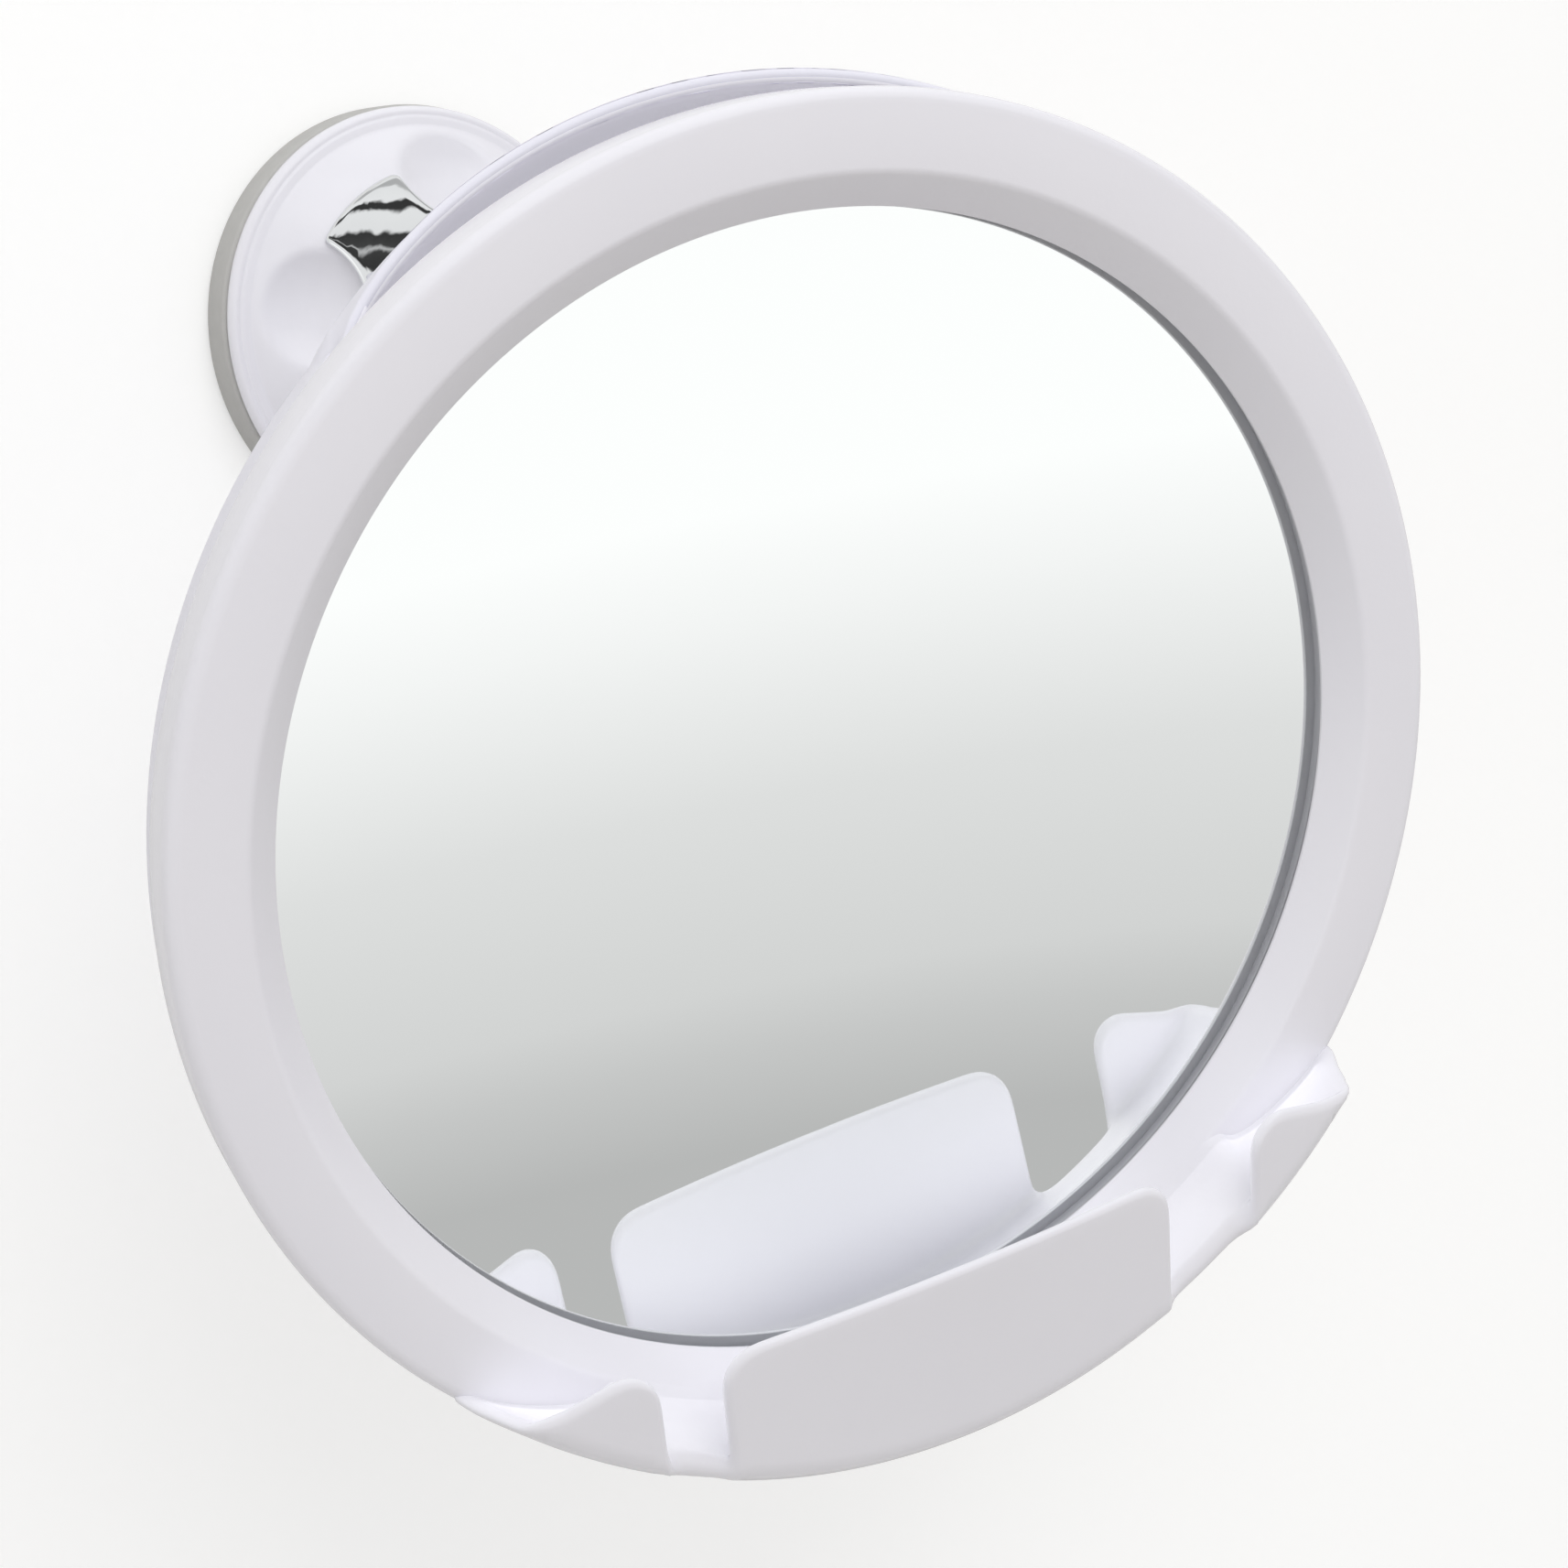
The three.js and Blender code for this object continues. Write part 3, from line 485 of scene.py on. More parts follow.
GAP_EDGE = FLOOR_END + 0.6
WIDE_LEVEL, SMALL_LEVEL = -78.8, -76.6
WIDE_LEFT, WIDE_RIGHT, SMALL_START = 48.9, 40.5, 60.0
WIDE_ROUND, SMALL_ROUND = 7.0, 6.5


def foot_of_side(side, outward):
    steps = ((0.0, 4.0), (0.15, 2.6), (0.75, 1.4), (1.9, 0.4), (3.4, 0.0))
    return [Vector((side + outward * dx, GAP_EDGE + ds)) for dx, ds in steps]


def soften(loop, rounds):
    for _ in range(rounds):
        loop = [(loop[i - 1] + 2 * p + loop[(i + 1) % len(loop)]) / 4 for i, p in enumerate(loop)]
    return loop


def tray_half(wide_side):
    half = []
    for i in range(25):
        s = 0.5 + (BEND_END - 0.5) * i / 24
        half.append(Vector((end_of_trough(s), s)))
    x_corner = half[-1].x
    for i in range(1, 16):
        x = x_corner + (SMALL_START + SMALL_ROUND - x_corner) * i / 16
        half.append(at_level(x, END_LEVEL + (SMALL_LEVEL - END_LEVEL) * i / 16))
    half += reversed(rounded_top(SMALL_START, 1, SMALL_LEVEL, SMALL_ROUND))
    half += foot_of_side(SMALL_START, -1)
    half += reversed(foot_of_side(wide_side, 1))
    half += rounded_top(wide_side, -1, WIDE_LEVEL, WIDE_ROUND)
    start, end = wide_side - WIDE_ROUND - 1.0, wide_side % 2.0
    half += [at_level(start - (start - end) * i / 20, WIDE_LEVEL) for i in range(20)]
    return half


trough_outline = tray_half(WIDE_RIGHT) + [Vector((-p.x, p.y)) for p in reversed(tray_half(WIDE_LEFT))]
trough_outline = even_loop(soften(even_loop(trough_outline, 0.7), 8), 0.9)
points, faces = rounded_sheet(trough_outline, edge=1.25, place=on_trough, spacing=1.7, edge_spacing=0.9)
trough = finish_mesh("trough", points, faces, HEAD, white_abs, sharp=60.0)
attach(trough, "head")
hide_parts("mirror_frame")

# %% [markdown]
# The tank shell is a dish behind the mirror. Its rim sits in the ring, except at the top, where it stands
# back and flares out: that crescent is the mouth for the hot water. Its section changes with the angle.

# %% Tank shell
MOUTH_HALF_ANGLE = math.radians(37.0)
TANK_WALL, TANK_BACK = 2.5, 33.0
CLOSED_RIM, STEP_END, OPEN_RIM = 1.2, 5.8, 18.5


def mouth_share(a):
    off = abs(math.atan2(math.sin(a), math.cos(a)))
    return math.sqrt(max(0.0, 1 - (off / MOUTH_HALF_ANGLE) ** 2))


def bezier(a, b, c, d, t):
    u = 1 - t
    return a * u**3 + b * (3 * u * u * t) + c * (3 * u * t * t) + d * t**3


def shell_section(a):
    m = mouth_share(a)
    rim_depth = CLOSED_RIM + (OPEN_RIM - CLOSED_RIM) * m
    stepped = min(1.0, (rim_depth - CLOSED_RIM) / (STEP_END - CLOSED_RIM))
    cleared = math.sqrt(max(0.0, (rim_depth - STEP_END) / (OPEN_RIM - STEP_END)))
    flat, shoulder = Vector((78.0, TANK_BACK)), Vector((104.0, TANK_BACK))
    corner = Vector((113.5, 27.0)).lerp(Vector((113.0, 30.5)), m)
    side = Vector((116.8 + 2.6 * m**3, 12.0 + 10.5 * m))
    rim = Vector((115.6 + 5.4 * cleared, rim_depth))
    step_out = Vector((118.1, 6.1)).lerp(side.lerp(rim, 1 / 3), stepped)
    step_in = Vector((115.6, STEP_END)).lerp(side.lerp(rim, 2 / 3), stepped)
    outer = [Vector((20.0, TANK_BACK)), Vector((50.0, TANK_BACK))]
    outer += [bezier(flat, shoulder, corner, side, i / 20) for i in range(21)]
    outer += [side.lerp(step_out, i / 3) for i in range(1, 4)]
    outer += [step_in, step_in.lerp(rim, 0.5), rim]
    inner = []
    for i, p in enumerate(outer):
        into = (p - outer[i - 1]).normalized() if i else Vector((1.0, 0.0))
        onward = (outer[i + 1] - p).normalized() if i < len(outer) - 1 else into
        along = (into + onward).normalized()
        inner.append(p + Vector((along.y, -along.x)) * TANK_WALL / along.dot(onward))
    across = Vector((onward.y, -onward.x))
    half = TANK_WALL / 2
    centre = rim + across * half - onward * half
    round_rim = []
    for i in range(1, 8):
        turn = math.pi * i / 8
        round_rim.append(centre + (onward * math.sin(turn) - across * math.cos(turn)) * half)
    outer[-1], inner[-1] = outer[-1] - onward * half, inner[-1] - onward * half
    axis_out, axis_in = Vector((0.0, TANK_BACK)), Vector((0.0, TANK_BACK - TANK_WALL))
    return [axis_out] + outer + round_rim + inner[::-1] + [axis_in]


points, faces = turned_mesh(None, 240, shell_section)
tank_shell = finish_mesh("tank_shell", points, faces, HEAD, tank_abs, sharp=60.0)
OUTER_POINTS = 28
envelope_outline = shell_section(math.pi)[:OUTER_POINTS] + [Vector((0.0, CLOSED_RIM))]
points, faces = turned_mesh(envelope_outline, 96)
envelope = finish_mesh("shell_envelope", points, faces, HEAD, tank_abs)

# %% [markdown]
# Six screws hold the tank on the ring, each deep in a bore of its own. Columns, bores and screws repeat by
# one rule, so Geometry Nodes sets them on six points. The sizes are named inputs of the two node groups.
# The columns are cut off where they would leave the shell: the envelope is its outer shape, closed.

# %% Columns, bores and screws on six points
SCREW_CIRCLE = 108.7
SCREW_ANGLES = (60, 110, 160, 200, 250, 300)
ALONG_HEAD = (HEAD_TURN.to_3x3() @ Matrix.Rotation(math.radians(-90), 3, "X")).to_euler()
spots = []
for a in map(math.radians, SCREW_ANGLES):
    spots.append((HEAD @ Vector((SCREW_CIRCLE * math.sin(a), 0.0, SCREW_CIRCLE * math.cos(a)))) * MM)
spot_mesh = bpy.data.meshes.new("screw_places")
spot_mesh.from_pydata(spots, [], [])
screws = bpy.data.objects.new("shell_screws", spot_mesh)
bpy.context.scene.collection.objects.link(screws)


def new_group(name, numbers, objects):
    tree = bpy.data.node_groups.new(name, "GeometryNodeTree")
    tree.interface.new_socket("Geometry", in_out="INPUT", socket_type="NodeSocketGeometry")
    tree.interface.new_socket("Geometry", in_out="OUTPUT", socket_type="NodeSocketGeometry")
    tree.interface.new_socket("Turn", in_out="INPUT", socket_type="NodeSocketRotation")
    for title in numbers:
        tree.interface.new_socket(title, in_out="INPUT", socket_type="NodeSocketFloat")
    for title in objects:
        tree.interface.new_socket(title, in_out="INPUT", socket_type="NodeSocketObject")
    return tree, add_node(tree, "NodeGroupInput").outputs


def on_every_place(tree, given, places, shape):
    placed = add_node(
        tree, "GeometryNodeInstanceOnPoints", Points=places, Instance=shape, Rotation=given["Turn"]
    )
    return add_node(tree, "GeometryNodeRealizeInstances", Geometry=placed.outputs[0]).outputs[0]


def bars_on_places(tree, given, places, radius, start, end):
    depth = add_node(tree, "ShaderNodeMath", {"operation": "SUBTRACT"}, i0=given[end], i1=given[start])
    middle = add_node(tree, "ShaderNodeMath", {"operation": "ADD"}, i0=given[end], i1=given[start])
    half = add_node(tree, "ShaderNodeMath", {"operation": "MULTIPLY"}, i0=middle.outputs[0], i1=0.5)
    bar = add_node(
        tree, "GeometryNodeMeshCylinder", Vertices=32, Radius=given[radius], Depth=depth.outputs[0]
    )
    shift = add_node(tree, "ShaderNodeCombineXYZ", Z=half.outputs[0])
    lifted = add_node(
        tree, "GeometryNodeTransform", Geometry=bar.outputs["Mesh"], Translation=shift.outputs[0]
    )
    return on_every_place(tree, given, places, lifted.outputs[0])


def boolean(tree, operation, first, *others):
    node = add_node(tree, "GeometryNodeMeshBoolean", {"operation": operation, "solver": "EXACT"})
    if operation == "DIFFERENCE":
        tree.links.new(first, node.inputs["Mesh 1"])
    else:
        others = (first, *others)
    for other in others:
        tree.links.new(other, node.inputs["Mesh 2"])
    return node.outputs["Mesh"]


def end_group(tree, geometry, material):
    dressed = add_node(tree, "GeometryNodeSetMaterial", Geometry=geometry, Material=material)
    add_node(tree, "NodeGroupOutput", i0=dressed.outputs[0])


def grow(obj, tree, values):
    modifier = obj.modifiers.new(tree.name, "NODES")
    modifier.node_group = tree
    for item in tree.interface.items_tree:
        if item.in_out == "INPUT" and item.name in values:
            modifier[item.identifier] = values[item.name]
    grown = bpy.data.meshes.new_from_object(obj.evaluated_get(bpy.context.evaluated_depsgraph_get()))
    obj.modifiers.clear()
    obj.data = grown
    grown.shade_smooth()
    grown.set_sharp_from_angle(angle=math.radians(40))
    print(obj.name, "grown faces:", len(grown.polygons))


tree, given = new_group(
    "Screw wells",
    ("Column radius", "Bore radius", "Hole radius", "Foot", "Seat", "Back", "Front"),
    ("Places", "Envelope"),
)
places = add_node(tree, "GeometryNodeObjectInfo", Object=given["Places"]).outputs["Geometry"]
limit = add_node(tree, "GeometryNodeObjectInfo", Object=given["Envelope"]).outputs["Geometry"]
columns = bars_on_places(tree, given, places, "Column radius", "Foot", "Back")
bores = bars_on_places(tree, given, places, "Bore radius", "Seat", "Back")
holes = bars_on_places(tree, given, places, "Hole radius", "Front", "Back")
whole = boolean(tree, "UNION", given["Geometry"], boolean(tree, "INTERSECT", columns, limit))
end_group(tree, boolean(tree, "DIFFERENCE", whole, bores, holes), tank_abs)
well_sizes = {
    "Column radius": 4.0 * MM,
    "Bore radius": 3.4 * MM,
    "Hole radius": 1.7 * MM,
    "Foot": 4.8 * MM,
    "Seat": 9.3 * MM,
    "Back": 36.0 * MM,
    "Front": 4.0 * MM,
}
grow(tank_shell, tree, {"Turn": ALONG_HEAD, "Places": screws, "Envelope": envelope, **well_sizes})
bpy.data.objects.remove(envelope)

# %% [markdown]
# The screw is turned once, with a rounded head. The node group presses a cross into the head and sets the
# screw on all six points.

# %% Screws
SHANK_RADIUS, SCREW_HEAD_RADIUS = 1.4, 3.0
SCREW_TIP, UNDER_HEAD, HEAD_TOP = 0.6, 9.6, 11.8
screw_outline = [
    (0.0, SCREW_TIP),
    (SHANK_RADIUS, SCREW_TIP, 0.3),
    (SHANK_RADIUS, UNDER_HEAD),
    (SCREW_HEAD_RADIUS, UNDER_HEAD, 0.15),
    (SCREW_HEAD_RADIUS, HEAD_TOP, 0.8),
    (0.0, HEAD_TOP),
]
points, faces = turned_mesh(rounded_outline(screw_outline, 5), 32)
UPRIGHT = Matrix.Rotation(math.radians(90), 4, "X")
one_screw = finish_mesh("one_screw", points, faces, UPRIGHT, turned_steel)
tree, given = new_group("Shell screws", ("Slot length", "Slot width", "Slot depth", "Head top"), ("Screw",))
shape = add_node(tree, "GeometryNodeObjectInfo", Object=given["Screw"]).outputs["Geometry"]
cutters = []
for first, second in (("Slot length", "Slot width"), ("Slot width", "Slot length")):
    size = add_node(tree, "ShaderNodeCombineXYZ", X=given[first], Y=given[second], Z=given["Slot depth"])
    lift = add_node(tree, "ShaderNodeCombineXYZ", Z=given["Head top"])
    block = add_node(tree, "GeometryNodeMeshCube", Size=size.outputs[0])
    cutters.append(
        add_node(
            tree, "GeometryNodeTransform", Geometry=block.outputs["Mesh"], Translation=lift.outputs[0]
        ).outputs[0]
    )
crossed = boolean(tree, "DIFFERENCE", shape, *cutters)
end_group(tree, on_every_place(tree, given, given["Geometry"], crossed), turned_steel)
slot_sizes = {
    "Slot length": 3.6 * MM,
    "Slot width": 0.8 * MM,
    "Slot depth": 2.4 * MM,
    "Head top": HEAD_TOP * MM,
}
grow(screws, tree, {"Turn": ALONG_HEAD, "Screw": one_screw, **slot_sizes})
bpy.data.objects.remove(one_screw)
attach(screws, "head")
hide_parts(*[f"shell_screw_{k}" for k in range(1, 7)])

# %% [markdown]
# Faces of the shell that look towards the middle of the tank get the material of its inside, which is painted
# lighter and glows faintly as painted light. A short barrel on the shell's back holds the ball's seats, and
# its round bowl takes the front one.

# %% Inside of the tank and the socket barrel
MIDDLE_OF_TANK = HEAD @ Vector((0.0, 8.0, 0.0))
tank_shell.data.materials.append(tank_inside_painted_glow)
for face in tank_shell.data.polygons:
    if face.normal.dot(face.center / MM - MIDDLE_OF_TANK) < 0:
        face.material_index = 1
print("faces inside the tank:", sum(face.material_index for face in tank_shell.data.polygons))
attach(tank_shell, "head")
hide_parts("rear_shell")

SOCKET_RADIUS, BARREL_RADIUS, BARREL_FRONT = 13.6, 17.5, -14.4
bowl = [math.radians(90 * k / 16) for k in range(15, 0, -1)]
barrel_outline = [
    (0.0, BARREL_FRONT),
    (BARREL_RADIUS, BARREL_FRONT),
    (BARREL_RADIUS, 0.0, 0.5),
    (SOCKET_RADIUS, 0.0, 0.3),
]
barrel_outline += [(SOCKET_RADIUS * math.sin(a), -SOCKET_RADIUS * math.cos(a)) for a in bowl]
barrel_outline.append((0.0, -SOCKET_RADIUS))
AT_BALL = HEAD @ Matrix.Translation(BALL_IN_HEAD)
barrel = turned_piece("socket_barrel", barrel_outline, AT_BALL, tank_abs, "head", segments=96)
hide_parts("rear_shell")

# %% [markdown]
# The mirror is a disc of float glass, silvered on its back. Seen on a slant through clear glass, the
# silver looks about half as deep as it lies. We draw it at that seen depth, so the ring's edge shows
# twice: itself and mirrored.

# %% Mirror glass
silver_corners = [(0.0, 1.8), (101.5, 1.8, 0.2), (101.5, 3.3, 0.2), (0.0, 3.3)]
silver = turned_piece("mirror_silver", silver_corners, HEAD, silvering, "head", segments=192)
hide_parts("mirror_glass")

# %% [markdown]
# The lock knob is a white dome with four finger scoops. We raise a round grid to the dome's height and
# press the scoops in with spheres, blended softly at their rims as a polished mould does.

# %% Lock knob
SCOOP_ANGLES = [math.radians(71 + 90 * k) for k in range(4)]
SCOOP_OUT, SCOOP_UP, SCOOP_BALL = 34.4, 32.3, 20.0
KNOB_BORE, KNOB_RADIUS, ROUND_START = 9.3, 41.0, 39.5
DOME_FOOT, DOME_MIDDLE, DOME_TOP = (37.3, 11.1), (27.0, 21.5), (12.5, 22.8)
GROOVE_RADIUS, GROOVE_WIDTH, GROOVE_DEPTH = 39.3, 0.35, 0.25
RIM_SLOPE = 0.16


def dome_height(radius):
    if radius >= DOME_FOOT[0]:
        return DOME_FOOT[1]
    if radius <= DOME_TOP[0]:
        return DOME_TOP[1]
    low, high = 0.0, 1.0
    for _ in range(30):
        t = (low + high) / 2
        u = 1 - t
        if DOME_FOOT[0] * u * u + 2 * DOME_MIDDLE[0] * u * t + DOME_TOP[0] * t * t > radius:
            low = t
        else:
            high = t
    return DOME_FOOT[1] * u * u + 2 * DOME_MIDDLE[1] * u * t + DOME_TOP[1] * t * t


def soft_least(a, b, blend):
    h = max(blend - abs(a - b), 0.0) / blend
    return min(a, b) - h * h * blend / 4


def knob_height(radius, angle):
    height = dome_height(radius)
    if radius >= DOME_FOOT[0]:
        groove = math.exp(-(((radius - GROOVE_RADIUS) / GROOVE_WIDTH) ** 2)) * GROOVE_DEPTH
        height -= RIM_SLOPE * (radius - DOME_FOOT[0]) + groove
        if radius > ROUND_START:
            rounding = KNOB_RADIUS - ROUND_START
            height -= rounding - math.sqrt(max(0.0, rounding**2 - (radius - ROUND_START) ** 2))
    for scoop in SCOOP_ANGLES:
        x = radius * math.cos(angle) - SCOOP_OUT * math.cos(scoop)
        z = radius * math.sin(angle) - SCOOP_OUT * math.sin(scoop)
        inside_ball = SCOOP_BALL**2 - x * x - z * z
        if inside_ball > 0:
            height = soft_least(height, SCOOP_UP - math.sqrt(inside_ball), 1.2)
    return height


def knob_mesh():
    segments = 240
    foot = DOME_FOOT[0]
    radii = [KNOB_BORE + (foot - KNOB_BORE) * i / 44 for i in range(45)]
    radii += [foot + (ROUND_START - foot) * i / 12 for i in range(1, 13)]
    rounding = KNOB_RADIUS - ROUND_START
    radii += [ROUND_START + rounding * math.sin(math.pi / 2 * i / 6) for i in range(1, 7)]
    under = [(KNOB_RADIUS, 8.5), (40.4, 7.9), (14.3, 7.9), (14.3, 9.7), (KNOB_BORE, 9.7)]
    points, faces = [], []
    for s in range(segments):
        a = 2 * math.pi * s / segments
        section = [(r, knob_height(r, a)) for r in radii] + under
        points += [(r * math.cos(a), -h, r * math.sin(a)) for r, h in section]
    size = len(points) // segments
    for s in range(segments):
        here, there = s * size, (s + 1) % segments * size
        for i in range(size):
            j = (i + 1) % size
            faces.append((here + i, there + i, there + j, here + j))
    return points, faces


points, faces = knob_mesh()
knob = finish_mesh("knob_dome", points, faces, WALL, white_abs, sharp=50.0)
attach(knob, "knob")
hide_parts("lock_knob")

# %% [markdown]
# A chrome cross covers the knob's hub. Its four arms run between the scoops. It is cut from an outline as
# the trough is, and laid on the dome with a hair of space below it.

# %% Chrome cross
CROSS_RADIUS, CROSS_THICKNESS, CROSS_SPACE = 29.5, 1.4, 0.3
BITE_OUT, BITE_RADIUS = 33.0, 13.9


def cross_outline():
    share = (CROSS_RADIUS**2 + BITE_OUT**2 - BITE_RADIUS**2) / (2 * CROSS_RADIUS * BITE_OUT)
    limit = math.acos(share)
    loop = []
    for scoop in SCOOP_ANGLES:
        centre = Vector((math.cos(scoop), math.sin(scoop))) * BITE_OUT
        first = Vector((math.cos(scoop - limit), math.sin(scoop - limit))) * CROSS_RADIUS - centre
        spread = abs(math.remainder(math.atan2(first.y, first.x) - scoop, 2 * math.pi))
        for i in range(25):
            a = scoop - spread - (2 * math.pi - 2 * spread) * i / 24
            loop.append(centre + Vector((math.cos(a), math.sin(a))) * BITE_RADIUS)
        for i in range(1, 12):
            a = scoop + limit + (math.pi / 2 - 2 * limit) * i / 12
            loop.append(Vector((math.cos(a), math.sin(a))) * CROSS_RADIUS)
    return loop


def on_cross(x, z, w):
    base = dome_height(math.hypot(x, z)) + CROSS_SPACE
    return (x, -(base + CROSS_THICKNESS * (0.5 + 0.5 * w)), z)


cross = even_loop(soften(even_loop(cross_outline(), 0.4), 10), 0.5)
points, faces = rounded_sheet(cross, edge=0.8, place=on_cross, spacing=1.3, edge_spacing=0.5)
hub = finish_mesh("hub_cross", points, faces, WALL, plated_chrome, sharp=60.0)
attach(hub, "knob")
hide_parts("hub_cover")

# %% [markdown]
# The cup is a plain turned piece with small rounds on its edges. Its hub has a pocket for the puller.

# %% Suction cup
CUP_RADIUS, CUP_BAND, CUP_INSIDE = 41.4, -7.6, 36.2
cup_corners = [
    (0.0, 0.0),
    (CUP_RADIUS, 0.0, 1.0),
    (CUP_RADIUS, CUP_BAND, 1.0),
    (CUP_INSIDE, CUP_BAND, 0.5),
    (CUP_INSIDE, -3.0),
    (10.0, -3.0),
    (10.0, -6.0),
    (6.3, -6.0),
    (6.3, -2.0),
    (0.0, -2.0),
]
cup = turned_piece("cup_body", cup_corners, WALL, cup_rubber, "wall_mount", segments=192)
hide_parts("suction_cup")

# %% [markdown]
# The remaining solids are hidden or simple, so they stay and take their real finish.

# %% Finish for the solids that stay
finishes = {
    "mount_base": white_abs,
    "ball_stem": plated_chrome,
    "knob_washer": turned_steel,
    "cup_puller": turned_steel,
    "puller_pin": turned_steel,
    "ball_seat_rear": seat_abs,
    "ball_seat_front": seat_abs,
    "socket_collar": white_abs,
    "glass_gasket": seal_rubber,
    "glass_retainer": white_abs,
    "tank_seal": seal_rubber,
}
for name, material in finishes.items():
    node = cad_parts[name]
    node.data.materials.clear()
    node.data.materials.append(material)
    print(name, "gets", material.name)

# %% [markdown]
# The object hangs on a pale wall, so the wall is the backdrop, with a pale floor far below. For the camera
# both are almost white. They still take the object's soft shadow. A camera behind the wall looks through it,
# so that the back of the object can be seen.

# %% Wall and floor
WHITE_STRENGTH, WHITE_SHARE = 1.27, 0.42
WALL_SIDE, WALL_TOP, FLOOR_LEVEL, FLOOR_FRONT, WALL_PLACE = 3.0, 2.5, -1.2, -1.0, 0.001


def make_backdrop(name, tone):
    material, tree, shader = new_material(name)
    shader.inputs["Base Color"].default_value = linear(tone)
    shader.inputs["Roughness"].default_value = 0.9
    light = add_node(tree, "ShaderNodeEmission", Strength=WHITE_STRENGTH)
    path = add_node(tree, "ShaderNodeLightPath")
    to_camera = path.outputs["Is Camera Ray"]
    share = add_node(tree, "ShaderNodeMath", {"operation": "MULTIPLY"}, i0=to_camera, i1=WHITE_SHARE)
    mix = add_node(
        tree,
        "ShaderNodeMixShader",
        i0=share.outputs[0],
        i1=shader.outputs["BSDF"],
        i2=light.outputs["Emission"],
    )
    side = add_node(tree, "ShaderNodeNewGeometry").outputs["Backfacing"]
    from_behind = add_node(tree, "ShaderNodeMath", {"operation": "MULTIPLY"}, i0=to_camera, i1=side)
    clear = add_node(tree, "ShaderNodeBsdfTransparent")
    one_sided = add_node(
        tree, "ShaderNodeMixShader", i0=from_behind.outputs[0], i1=mix.outputs[0], i2=clear.outputs["BSDF"]
    )
    tree.links.new(one_sided.outputs[0], tree.nodes["Material Output"].inputs["Surface"])
    return material


def add_plane(name, low_edge, high_edge, material):
    (low_y, low_z), (high_y, high_z) = low_edge, high_edge
    mesh = bpy.data.meshes.new(name)
    mesh.from_pydata(
        [
            (-WALL_SIDE, low_y, low_z),
            (WALL_SIDE, low_y, low_z),
            (WALL_SIDE, high_y, high_z),
            (-WALL_SIDE, high_y, high_z),
        ],
        [],
        [(0, 1, 2, 3)],
    )
    mesh.materials.append(material)
    obj = bpy.data.objects.new(name, mesh)
    bpy.context.scene.collection.objects.link(obj)
    return obj


pale_wall = make_backdrop("Pale wall paint", "#F2F2F0")
wall = add_plane("wall", (WALL_PLACE, FLOOR_LEVEL), (WALL_PLACE, WALL_TOP), pale_wall)
floor = add_plane("floor", (FLOOR_FRONT, FLOOR_LEVEL), (WALL_PLACE, FLOOR_LEVEL), pale_wall)
print("stage:", wall.name, floor.name)

# %% [markdown]
# The studio is bright above and in front, and the ground sends up a weaker, warmer light. What polished
# faces see is set apart: the mirror looks down into a fall of light from white to grey, and the chrome
# looks up at bright panels with dark slits between them, which is what makes it read as chrome.

# %% Studio light
world = bpy.data.worlds.new("Studio")
bpy.context.scene.world = world
world.use_nodes = True
sky = world.node_tree
direction = add_node(sky, "ShaderNodeTexCoord")
parts = add_node(sky, "ShaderNodeSeparateXYZ", Vector=direction.outputs["Generated"])


def light_ramp(value, low, high, stops):
    span = add_node(sky, "ShaderNodeMapRange", i0=value, i1=low, i2=high, i3=0.0, i4=1.0)
    ramp = add_node(sky, "ShaderNodeValToRGB", i0=span.outputs[0])
    elements = ramp.color_ramp.elements
    elements.remove(elements[1])
    for k, (place, tone) in enumerate(stops):
        share = (place - low) / (high - low)
        element = elements.new(share) if k else elements[0]
        element.position = share
        element.color = (*tone, 1.0) if isinstance(tone, tuple) else (tone, tone, tone, 1.0)
    return ramp.outputs["Color"]


room = light_ramp(
    parts.outputs["Z"],
    -1.0,
    1.0,
    [
        (-1.0, (0.22, 0.17, 0.14)),
        (-0.6, (0.35, 0.30, 0.27)),
        (-0.25, (0.56, 0.54, 0.53)),
        (0.0, 0.65),
        (0.35, 0.69),
        (0.8, (0.73, 0.74, 0.76)),
    ],
)
seen_low = light_ramp(
    parts.outputs["Z"],
    -1.0,
    0.0,
    [(-0.62, 0.52), (-0.576, 0.62), (-0.546, 0.71), (-0.456, 0.80), (-0.363, 0.99), (-0.31, 1.08)],
)
slant = add_node(sky, "ShaderNodeVectorMath", {"operation": "DOT_PRODUCT"})
sky.links.new(direction.outputs["Generated"], slant.inputs[0])
slant.inputs[1].default_value = (0.55, 0.0, 1.0)
drift = add_node(sky, "ShaderNodeTexNoise", Vector=direction.outputs["Generated"], Scale=9.0, Detail=3.0)
wander = add_node(sky, "ShaderNodeMapRange", i0=drift.outputs["Fac"], i1=0.0, i2=1.0, i3=-0.05, i4=0.05)
slanted = add_node(
    sky, "ShaderNodeMath", {"operation": "ADD"}, i0=slant.outputs["Value"], i1=wander.outputs[0]
)
seen_high = light_ramp(
    slanted.outputs[0],
    0.0,
    1.5,
    [
        (0.24, 0.85),
        (0.29, 0.04),
        (0.39, 0.05),
        (0.415, 0.55),
        (0.44, 0.06),
        (0.53, 0.04),
        (0.56, 0.85),
        (0.70, 0.88),
        (0.73, 0.04),
        (0.78, 0.04),
        (0.80, 0.90),
        (0.91, 0.86),
        (0.94, 0.48),
        (1.02, 0.48),
        (1.05, 0.85),
    ],
)
up_share = add_node(sky, "ShaderNodeMapRange", i0=parts.outputs["Z"], i1=-0.05, i2=0.1, i3=0.0, i4=1.0)
seen = add_node(
    sky, "ShaderNodeMix", {"data_type": "RGBA"}, i0=up_share.outputs[0], i6=seen_low, i7=seen_high
)
path = add_node(sky, "ShaderNodeLightPath")
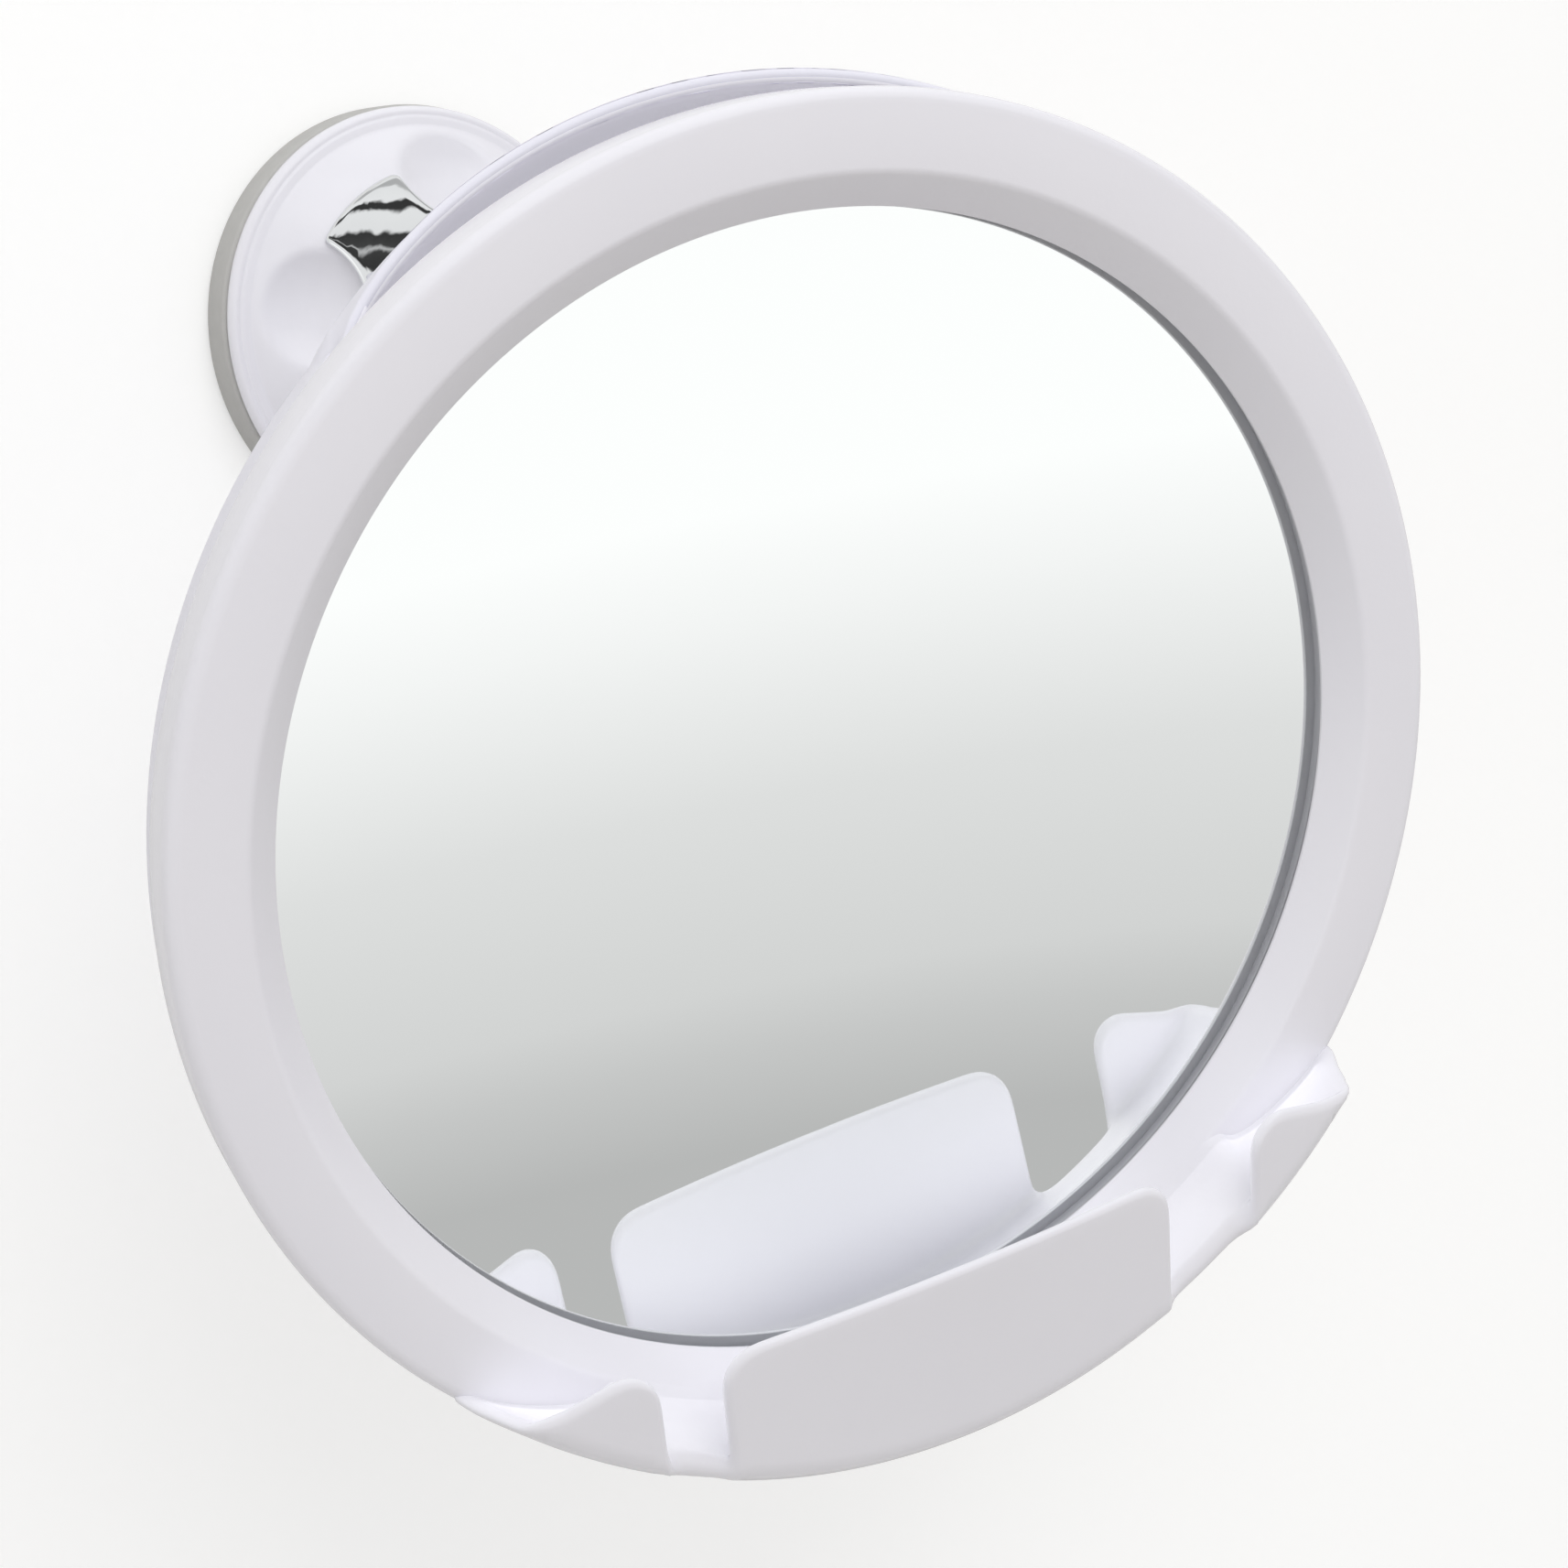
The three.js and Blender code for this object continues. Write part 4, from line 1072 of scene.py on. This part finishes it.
direct = add_node(
    sky,
    "ShaderNodeMath",
    {"operation": "SUBTRACT", "use_clamp": True},
    i0=path.outputs["Is Glossy Ray"],
    i1=path.outputs["Diffuse Depth"],
)
both = add_node(
    sky, "ShaderNodeMix", {"data_type": "RGBA"}, i0=direct.outputs[0], i6=room, i7=seen.outputs[2]
)
sky.links.new(both.outputs[2], sky.nodes["Background"].inputs["Color"])
print("world nodes:", len(sky.nodes))

# %% [markdown]
# One large softbox above and in front gives the shadow. Polished faces do not see it, so here the mirror
# sends none of its light back into the tray, as the real one does. A weak soft lamp just in front of the
# glass stands for that light. It is linked to the trough alone, so it lights no other piece.

# %% Lamps
def add_softbox(name, place, target, size, power):
    light = bpy.data.lights.new(name, "AREA")
    light.shape = "RECTANGLE"
    light.size, light.size_y = size
    light.energy = power
    obj = bpy.data.objects.new(name, light)
    obj.location = place
    obj.rotation_euler = (Vector(target) - Vector(place)).to_track_quat("-Z", "Y").to_euler()
    obj.visible_glossy = False
    obj.visible_camera = False
    bpy.context.scene.collection.objects.link(obj)
    return obj


add_softbox("Top softbox", (0.0, -1.25, 1.15), HEAD.translation * MM, size=(1.1, 1.1), power=11.0)
in_front_of_glass = (HEAD @ Vector((0.0, -7.0, -72.0))) * MM
into_the_tray = (HEAD @ Vector((0.0, -40.0, -72.0))) * MM
sent_back = add_softbox(
    "Light that the mirror sends back", in_front_of_glass, into_the_tray, size=(0.17, 0.06), power=0.0195
)
only_tray = bpy.data.collections.new("Lit by the mirror")
only_tray.objects.link(trough)
sent_back.light_linking.receiver_collection = only_tray

# %% [markdown]
# The camera looks from the front left, from above, with a portrait lens close to the object. The photo's
# own perspective was measured from the two circles of the ring, and the camera stands on that place.

# %% Camera
camera_data = bpy.data.cameras.new("Camera")
SENSOR_WIDTH, FOCAL_PIXELS, PHOTO_PIXELS = 36.0, 3571.0, 1713.0
camera_data.sensor_width = SENSOR_WIDTH
camera_data.lens = FOCAL_PIXELS / PHOTO_PIXELS * SENSOR_WIDTH
camera_data.clip_start = 0.01
camera = bpy.data.objects.new("Camera", camera_data)
bpy.context.scene.collection.objects.link(camera)
right = Vector((0.876, -0.457, -0.154))
up = Vector((0.297, 0.260, 0.919))
back = right.cross(up).normalized()
up = back.cross(right).normalized()
right = right.normalized()
turn = Matrix((right, up, back)).transposed().to_4x4()
place = Matrix.Translation(Vector((-218.4, -467.8, 205.8)))
seen = HEAD @ place @ turn
camera.matrix_world = Matrix.Translation(seen.translation * MM) @ seen.to_quaternion().to_matrix().to_4x4()
bpy.context.scene.camera = camera
bpy.context.scene.view_settings.view_transform = "Standard"
print("camera at", [round(v, 4) for v in camera.location])
